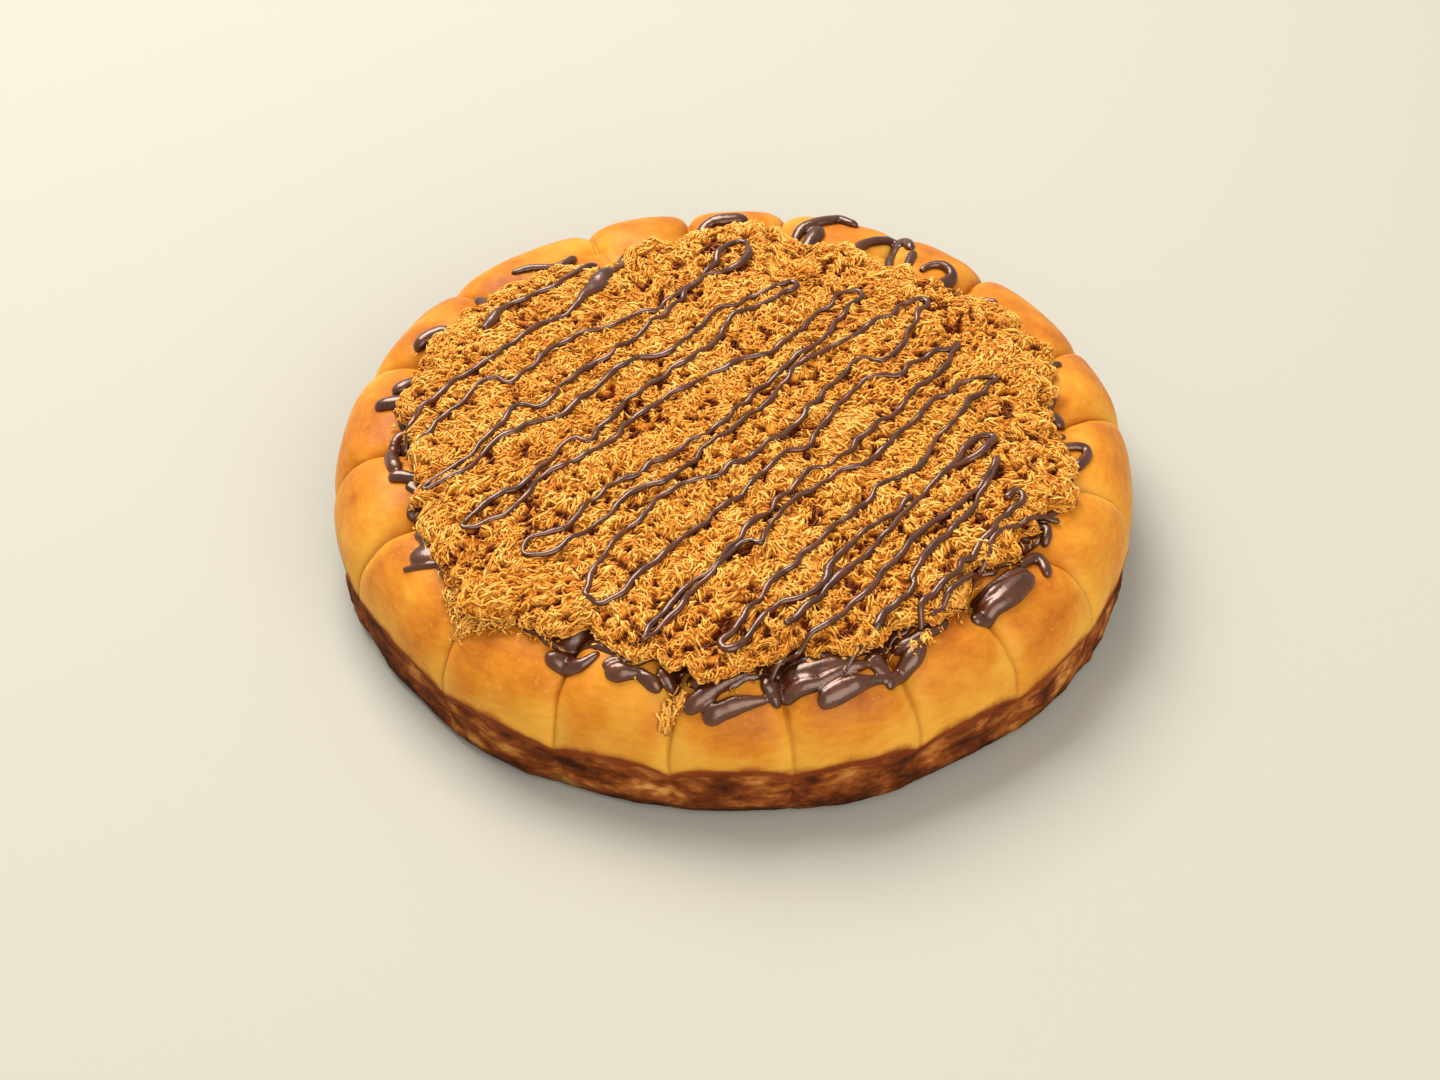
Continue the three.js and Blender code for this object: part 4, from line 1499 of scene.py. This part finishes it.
    def loose_shreds(self, draw: np.random.Generator) -> tuple[Array, Array]:
        """Returns the points of one kind's shreds off the heap, and their lift.

        They hang in tufts in some creases, and single ones lie round the heap's edge. The lift
        is a base and the height over the loaf times its weight. Its finish paints shade with it:
        shreds that lie low on the loaf are darker.

        Args:
            draw: Where random numbers come from.

        Returns:
            The points and the lift, one row a shred.
        """
        counts = [int(tuft[4] * self.loose_share) for tuft in self.tufts]
        rows = np.repeat([tuft[:4] for tuft in self.tufts], counts, axis=0)
        degrees = draw.uniform(0, 360, self.strays)
        away = self.form.edge(degrees) - self.stray_inset
        away = away + np.abs(draw.normal(0, self.stray_scatter, self.strays))
        thickness = np.full((self.strays, 1), self.stray_thickness)
        strays = np.concatenate([around(away, degrees, self.stray_reach), thickness], axis=1)
        x, y, spread, thickness = np.concatenate([rows, strays]).T[..., None]
        count = len(x)
        heading = np.arctan2(y, x)[:, 0] + draw.normal(0, self.loose_heading, count)
        first, second = self.curls(draw, heading)
        across = x + draw.normal(0, 1, (count, 1)) * spread * self.loose_spread + self.loose_curl * first
        along = y + draw.normal(0, 1, (count, 1)) * spread * self.loose_spread + self.loose_curl * second
        rise = draw.uniform(*self.loose_rise, (count, 1)) * thickness
        lift = rise + draw.normal(0, self.loose_scatter, (count, self.shred_points))
        far = np.minimum(1, self.reach / np.hypot(across, along))
        plan = np.stack([across * far, along * far], axis=-1)
        # Painted shade: loose shreds that lie low on the loaf get a low lift and so a darker colour.
        base, of_lift = self.loose_shade
        return raised(plan, self.loaf.top(plan) + lift), np.clip(base + of_lift * lift, 0, 1)

    def build_shreds(self, kind: FlossKind) -> Piece:
        """Builds all shreds of one kind as one piece.

        Args:
            kind: The kind, which has a random seed of its own.

        Returns:
            The shreds.
        """
        draw = np.random.default_rng(self.first_seed + list(FlossKind).index(kind))
        loose, loose_shade = self.loose_shreds(draw)
        heaped, heaped_shade = self.heap_shreds(draw, self.shreds_of_a_kind - len(loose))
        centres, lift = np.concatenate([heaped, loose]), np.concatenate([heaped_shade, loose_shade])
        count = len(centres)
        thickness = draw.uniform(self.thinnest, self.thickest, (count, 1))
        places = np.linspace(*self.taper_band, self.shred_points)
        radii = thickness * np.sin(places * np.pi) ** self.taper_power
        centres[..., 2] = np.minimum(centres[..., 2], self.ceiling - radii)
        points = tube_points(centres, radii, self.flatness * radii, self.shred_sides)
        faces = tube_faces(count, self.shred_points - 2, self.shred_sides)
        piece = make_mesh(f"floss_{kind.name.lower()}", points.reshape(-1, 3), *faces)
        rings = np.repeat(lift[:, 1:-1], self.shred_sides, axis=1)
        rows = np.concatenate([lift[:, :1], rings, lift[:, -1:]], axis=1)
        add_measure(piece, "lift", rows)
        add_measure(piece, "tone", np.repeat(draw.uniform(0, 1, (count, 1)), rows.shape[1], axis=1))
        settle(piece, FlossFinish(kind).material(), "floss", "floss")
        return piece

    def build(self) -> list[Piece]:
        """Builds the core and every kind of shred."""
        return [self.build_core(), *(self.build_shreds(kind) for kind in FlossKind)]


@dataclass
class Drizzle:
    """The zig-zag of chocolate over the shreds.

    Each run is a path in plan through its turning points. Blobs are places where the line
    swells: x, y, reach and how much wider it gets.
    """

    finish: bpy.types.Material
    heap: FlossHeap
    radius: float = 0.87
    flatness: float = 0.88
    thickest: float = 1.35
    sides: int = 10
    step: float = 0.6
    waver: float = 1.21
    waver_length: float = 5.0
    waver_shift: float = 5.3
    swell: float = 0.32
    swell_length: float = 5.0
    swell_shift: float = 2.3
    pit_share: float = 0.5
    relief_reach: int = 5
    ride: float = 0.75
    off_heap: Pair = (0.96, 1.06)
    fall: float = 9.0
    fall_reach: int = 3
    least_ride: float = 1.0
    lift: float = 0.15
    top_share: float = 0.85
    ceiling: float = 54.3
    skin_places: int = 200
    skin_start: float = 0.12
    runs: tuple = (
        (
            (-76, 34), (-67, 46), (-51, 59), (-39, 76), (-36, 76), (-36, 66), (-50, 43), (-63, 30),
            (-86, 4), (-95, -9), (-94, -15), (-87, -11), (-72, 9), (-65, 9), (-51, 27), (-23, 43),
            (-9, 61), (-2, 74), (2, 78), (5, 74), (3, 68), (-8, 60), (-12, 56), (-26, 33),
            (-48, 9), (-55, -1), (-63, -3), (-67, -11), (-79, -27), (-88, -35), (-78, -31),
            (-67, -17), (-48, -5), (-31, 17), (-19, 22), (-5, 41), (12, 52), (17, 57), (18, 52),
            (2, 41), (-11, 21), (-28, 4), (-41, -17), (-47, -19), (-57, -32), (-76, -53),
            (-65, -50), (-54, -33), (-38, -22), (-25, -5), (-1, 16), (12, 23), (32, 49), (38, 49),
            (24, 26), (9, 8), (2, -3), (-13, -20), (-37, -41), (-49, -56), (-57, -61), (-57, -66),
            (-46, -62), (-28, -40), (-19, -36), (-8, -22), (10, -1), (18, 14), (33, 27), (54, 46),
            (58, 45), (51, 29), (44, 19), (34, 16), (16, -13), (-4, -33), (-22, -44), (-40, -76),
            (-39, -83), (-33, -82), (-18, -64), (2, -42), (14, -25), (21, -20), (36, 6), (47, 11),
            (64, 25), (67, 27), (63, 18), (44, -8), (29, -27), (20, -34), (2, -59), (-7, -72),
            (-24, -95), (-21, -94), (1, -63), (8, -62), (14, -48), (32, -31), (39, -27), (60, 1),
            (76, 11), (75, 6), (66, -4), (50, -32), (42, -38), (22, -63), (-1, -94), (-3, -101),
            (1, -99), (8, -89), (12, -86), (21, -81), (26, -71), (34, -59), (41, -53), (51, -43),
        ),
        ((13, -93), (19, -87), (28, -76), (37, -65), (54, -40), (70, -18), (75, -18), (68, -26), (60, -31)),
        (
            (9, -107), (14, -101), (34, -83), (51, -58), (68, -40), (75, -26), (67, -46), (49, -72),
            (47, -79), (29, -104),
        ),
        ((50, -89), (52, -83), (59, -74), (68, -60), (79, -44), (80, -40), (77, -43)),
        ((53, -86), (61, -77), (74, -56), (84, -47), (92, -44)),
    )
    blobs: tuple[tuple[float, float, float, float], ...] = (
        (-39.5, 74, 5, 1.2),
        (-40, 57, 6, 2.3),
        (-43.5, 52, 5, 1.0),
        (-70.5, 37, 5, 1.6),
        (3, 70, 6, 0.7),
        (27, -73, 4, 0.6),
        (71, -22, 7, 0.4),
        (38, -92, 15, 0.35),
        (64, -68, 15, 0.3),
        (79, -41, 4, 0.6),
        (-2, -100, 6, 0.3),
    )

    def run(self, number: int) -> Array:
        """Returns the points of one run, laid on the shreds.

        The line swings sideways by a slow noise, sinks a little into the pits and rides over
        the clumps. Where it leaves the heap it falls to the loaf. Its width swells by a noise
        and by gain e^(-(away / reach)^2) at each blob.

        Args:
            number: Which run it is.

        Returns:
            The points, as tube_points gives them.
        """
        form = self.heap.form
        plan = smooth_path(np.array(self.runs[number], dtype=float), self.step)
        ahead = np.gradient(plan, axis=0)
        ahead /= np.linalg.norm(ahead, axis=1, keepdims=True)
        along = path_length(plan)
        swing = smooth_noise(around(along, 0.0), self.waver_length, number * self.waver_shift)
        plan = plan + self.waver * swing[:, None] * square_to(ahead)
        x, y = plan.T
        share = np.hypot(x, y) / form.edge(np.degrees(np.arctan2(y, x)))
        smooth = np.interp(share, *form.profile_at(np.linspace(1, self.skin_start, self.skin_places)))
        skin = raised(plan, smooth)
        relief = form.lump_height * form.lumps(skin) - self.pit_share * form.pits(skin)
        ground = smooth + smoothed(relief, self.relief_reach) + self.ride
        fallen = ground - self.fall * ease_between(share, *self.off_heap)
        fallen = np.maximum(self.heap.loaf.top(plan) + self.least_ride, fallen)
        height = smoothed(np.where(share > self.off_heap[0], fallen, ground), self.fall_reach)
        swell = 1 + self.swell * smooth_noise(raised(plan), self.swell_length, number * self.swell_shift)
        for blob_x, blob_y, reach, gain in self.blobs:
            swell = swell + gain * np.exp(-((np.hypot(x - blob_x, y - blob_y) / reach) ** 2))
        full = self.radius * swell
        radii = round_ends(full, along)
        centres = raised(plan, np.minimum(height + self.lift, self.ceiling - self.top_share * full))
        heights = np.minimum(self.flatness * radii, self.thickest)
        return tube_points(centres[None], radii[None], heights[None], self.sides)[0]

    def build(self) -> Piece:
        """Builds the whole drizzle as one piece."""
        piece = make_tubes("drizzle", [self.run(number) for number in range(len(self.runs))], self.sides)
        settle(piece, self.finish, "chocolate", "floss")
        return piece


@dataclass(frozen=True)
class SoftLight:
    """A square soft light: its name, place, side in millimetres and power in watts."""

    name: str
    place: Triple
    size: float
    power: float

    def build(self) -> None:
        """Hangs the light, looking at the loaf."""
        light = bpy.data.lights.new(self.name, "AREA")
        light.shape = "SQUARE"
        light.size = self.size * MM
        light.energy = self.power
        lamp = bpy.data.objects.new(self.name, light)
        lamp.location = np.array(self.place) * MM
        away = np.array(self.place) / np.linalg.norm(self.place)
        lamp.rotation_euler = (np.arccos(away[2]), 0, np.arctan2(away[0], -away[1]))
        bpy.context.scene.collection.objects.link(lamp)


@dataclass
class Studio:
    """A plain pale floor, soft light and the camera."""

    floor_size: float = 6000.0
    floor_height: float = -0.2
    floor_colour: Colour = (171, 166, 152)
    floor_grain: Grain = Grain(4)
    floor_relief: float = 0.01
    floor_roughness: float = 0.9
    floor_shine: float = 0.1
    lights: tuple[SoftLight, ...] = (
        SoftLight("window", (-490, 720, 1310), 1050, 39.5),
        SoftLight("front", (600, -1300, 900), 1400, 21.5),
    )
    sky_colour: tuple[float, float, float, float] = (1.0, 0.99, 0.97, 1.0)
    sky_strength: float = 0.6
    camera_place: Triple = (-4.19, -665.6, 605.8)
    camera_tilt: float = 47.511
    lens: float = 73.96
    sensor: float = 36.0
    nearest: float = 10.0
    farthest: float = 100000.0

    def build_floor(self) -> None:
        """Lays the floor just under the loaf."""
        square = np.array([[-1, -1], [1, -1], [1, 1], [-1, 1]]) * self.floor_size / 2
        floor = make_mesh("floor", raised(square, self.floor_height), np.array([[0, 1, 2, 3]]))
        recipe = Recipe("pale_floor")
        inputs = {
            "Base Color": linear(*self.floor_colour),
            "Normal": recipe.bump(recipe.noise(self.floor_grain), self.floor_relief),
            "Roughness": self.floor_roughness,
            "Specular IOR Level": self.floor_shine,
        }
        floor.data.materials.append(recipe.finish(inputs))

    def build_sky(self) -> None:
        """Sets the even light all round, and shows colours as they are."""
        world = bpy.data.worlds.new("sky")
        world.use_nodes = True
        sky = world.node_tree.nodes["Background"]
        sky.inputs["Color"].default_value = self.sky_colour
        sky.inputs["Strength"].default_value = self.sky_strength
        bpy.context.scene.world = world
        bpy.context.scene.view_settings.view_transform = "Standard"

    def build_camera(self) -> None:
        """Sets up the camera."""
        lens = bpy.data.cameras.new("camera")
        lens.lens = self.lens
        lens.sensor_width = self.sensor
        lens.clip_start = self.nearest * MM
        lens.clip_end = self.farthest * MM
        camera = bpy.data.objects.new("camera", lens)
        camera.location = np.array(self.camera_place) * MM
        camera.rotation_euler = (np.radians(self.camera_tilt), 0, 0)
        bpy.context.scene.collection.objects.link(camera)
        bpy.context.scene.camera = camera

    def build(self) -> None:
        """Builds the floor, the lights, the sky and the camera."""
        self.build_floor()
        for light in self.lights:
            light.build()
        self.build_sky()
        self.build_camera()


def main() -> None:
    """Builds every piece in order, then the studio."""
    logging.basicConfig(level=logging.INFO, format="%(message)s")
    chocolate = ChocolateFinish().material()
    heap = FlossHeap()
    Loaf().build()
    Spread(chocolate).build()
    heap.build()
    Drizzle(chocolate, heap).build()
    Studio().build()


if __name__ == "__main__":
    main()
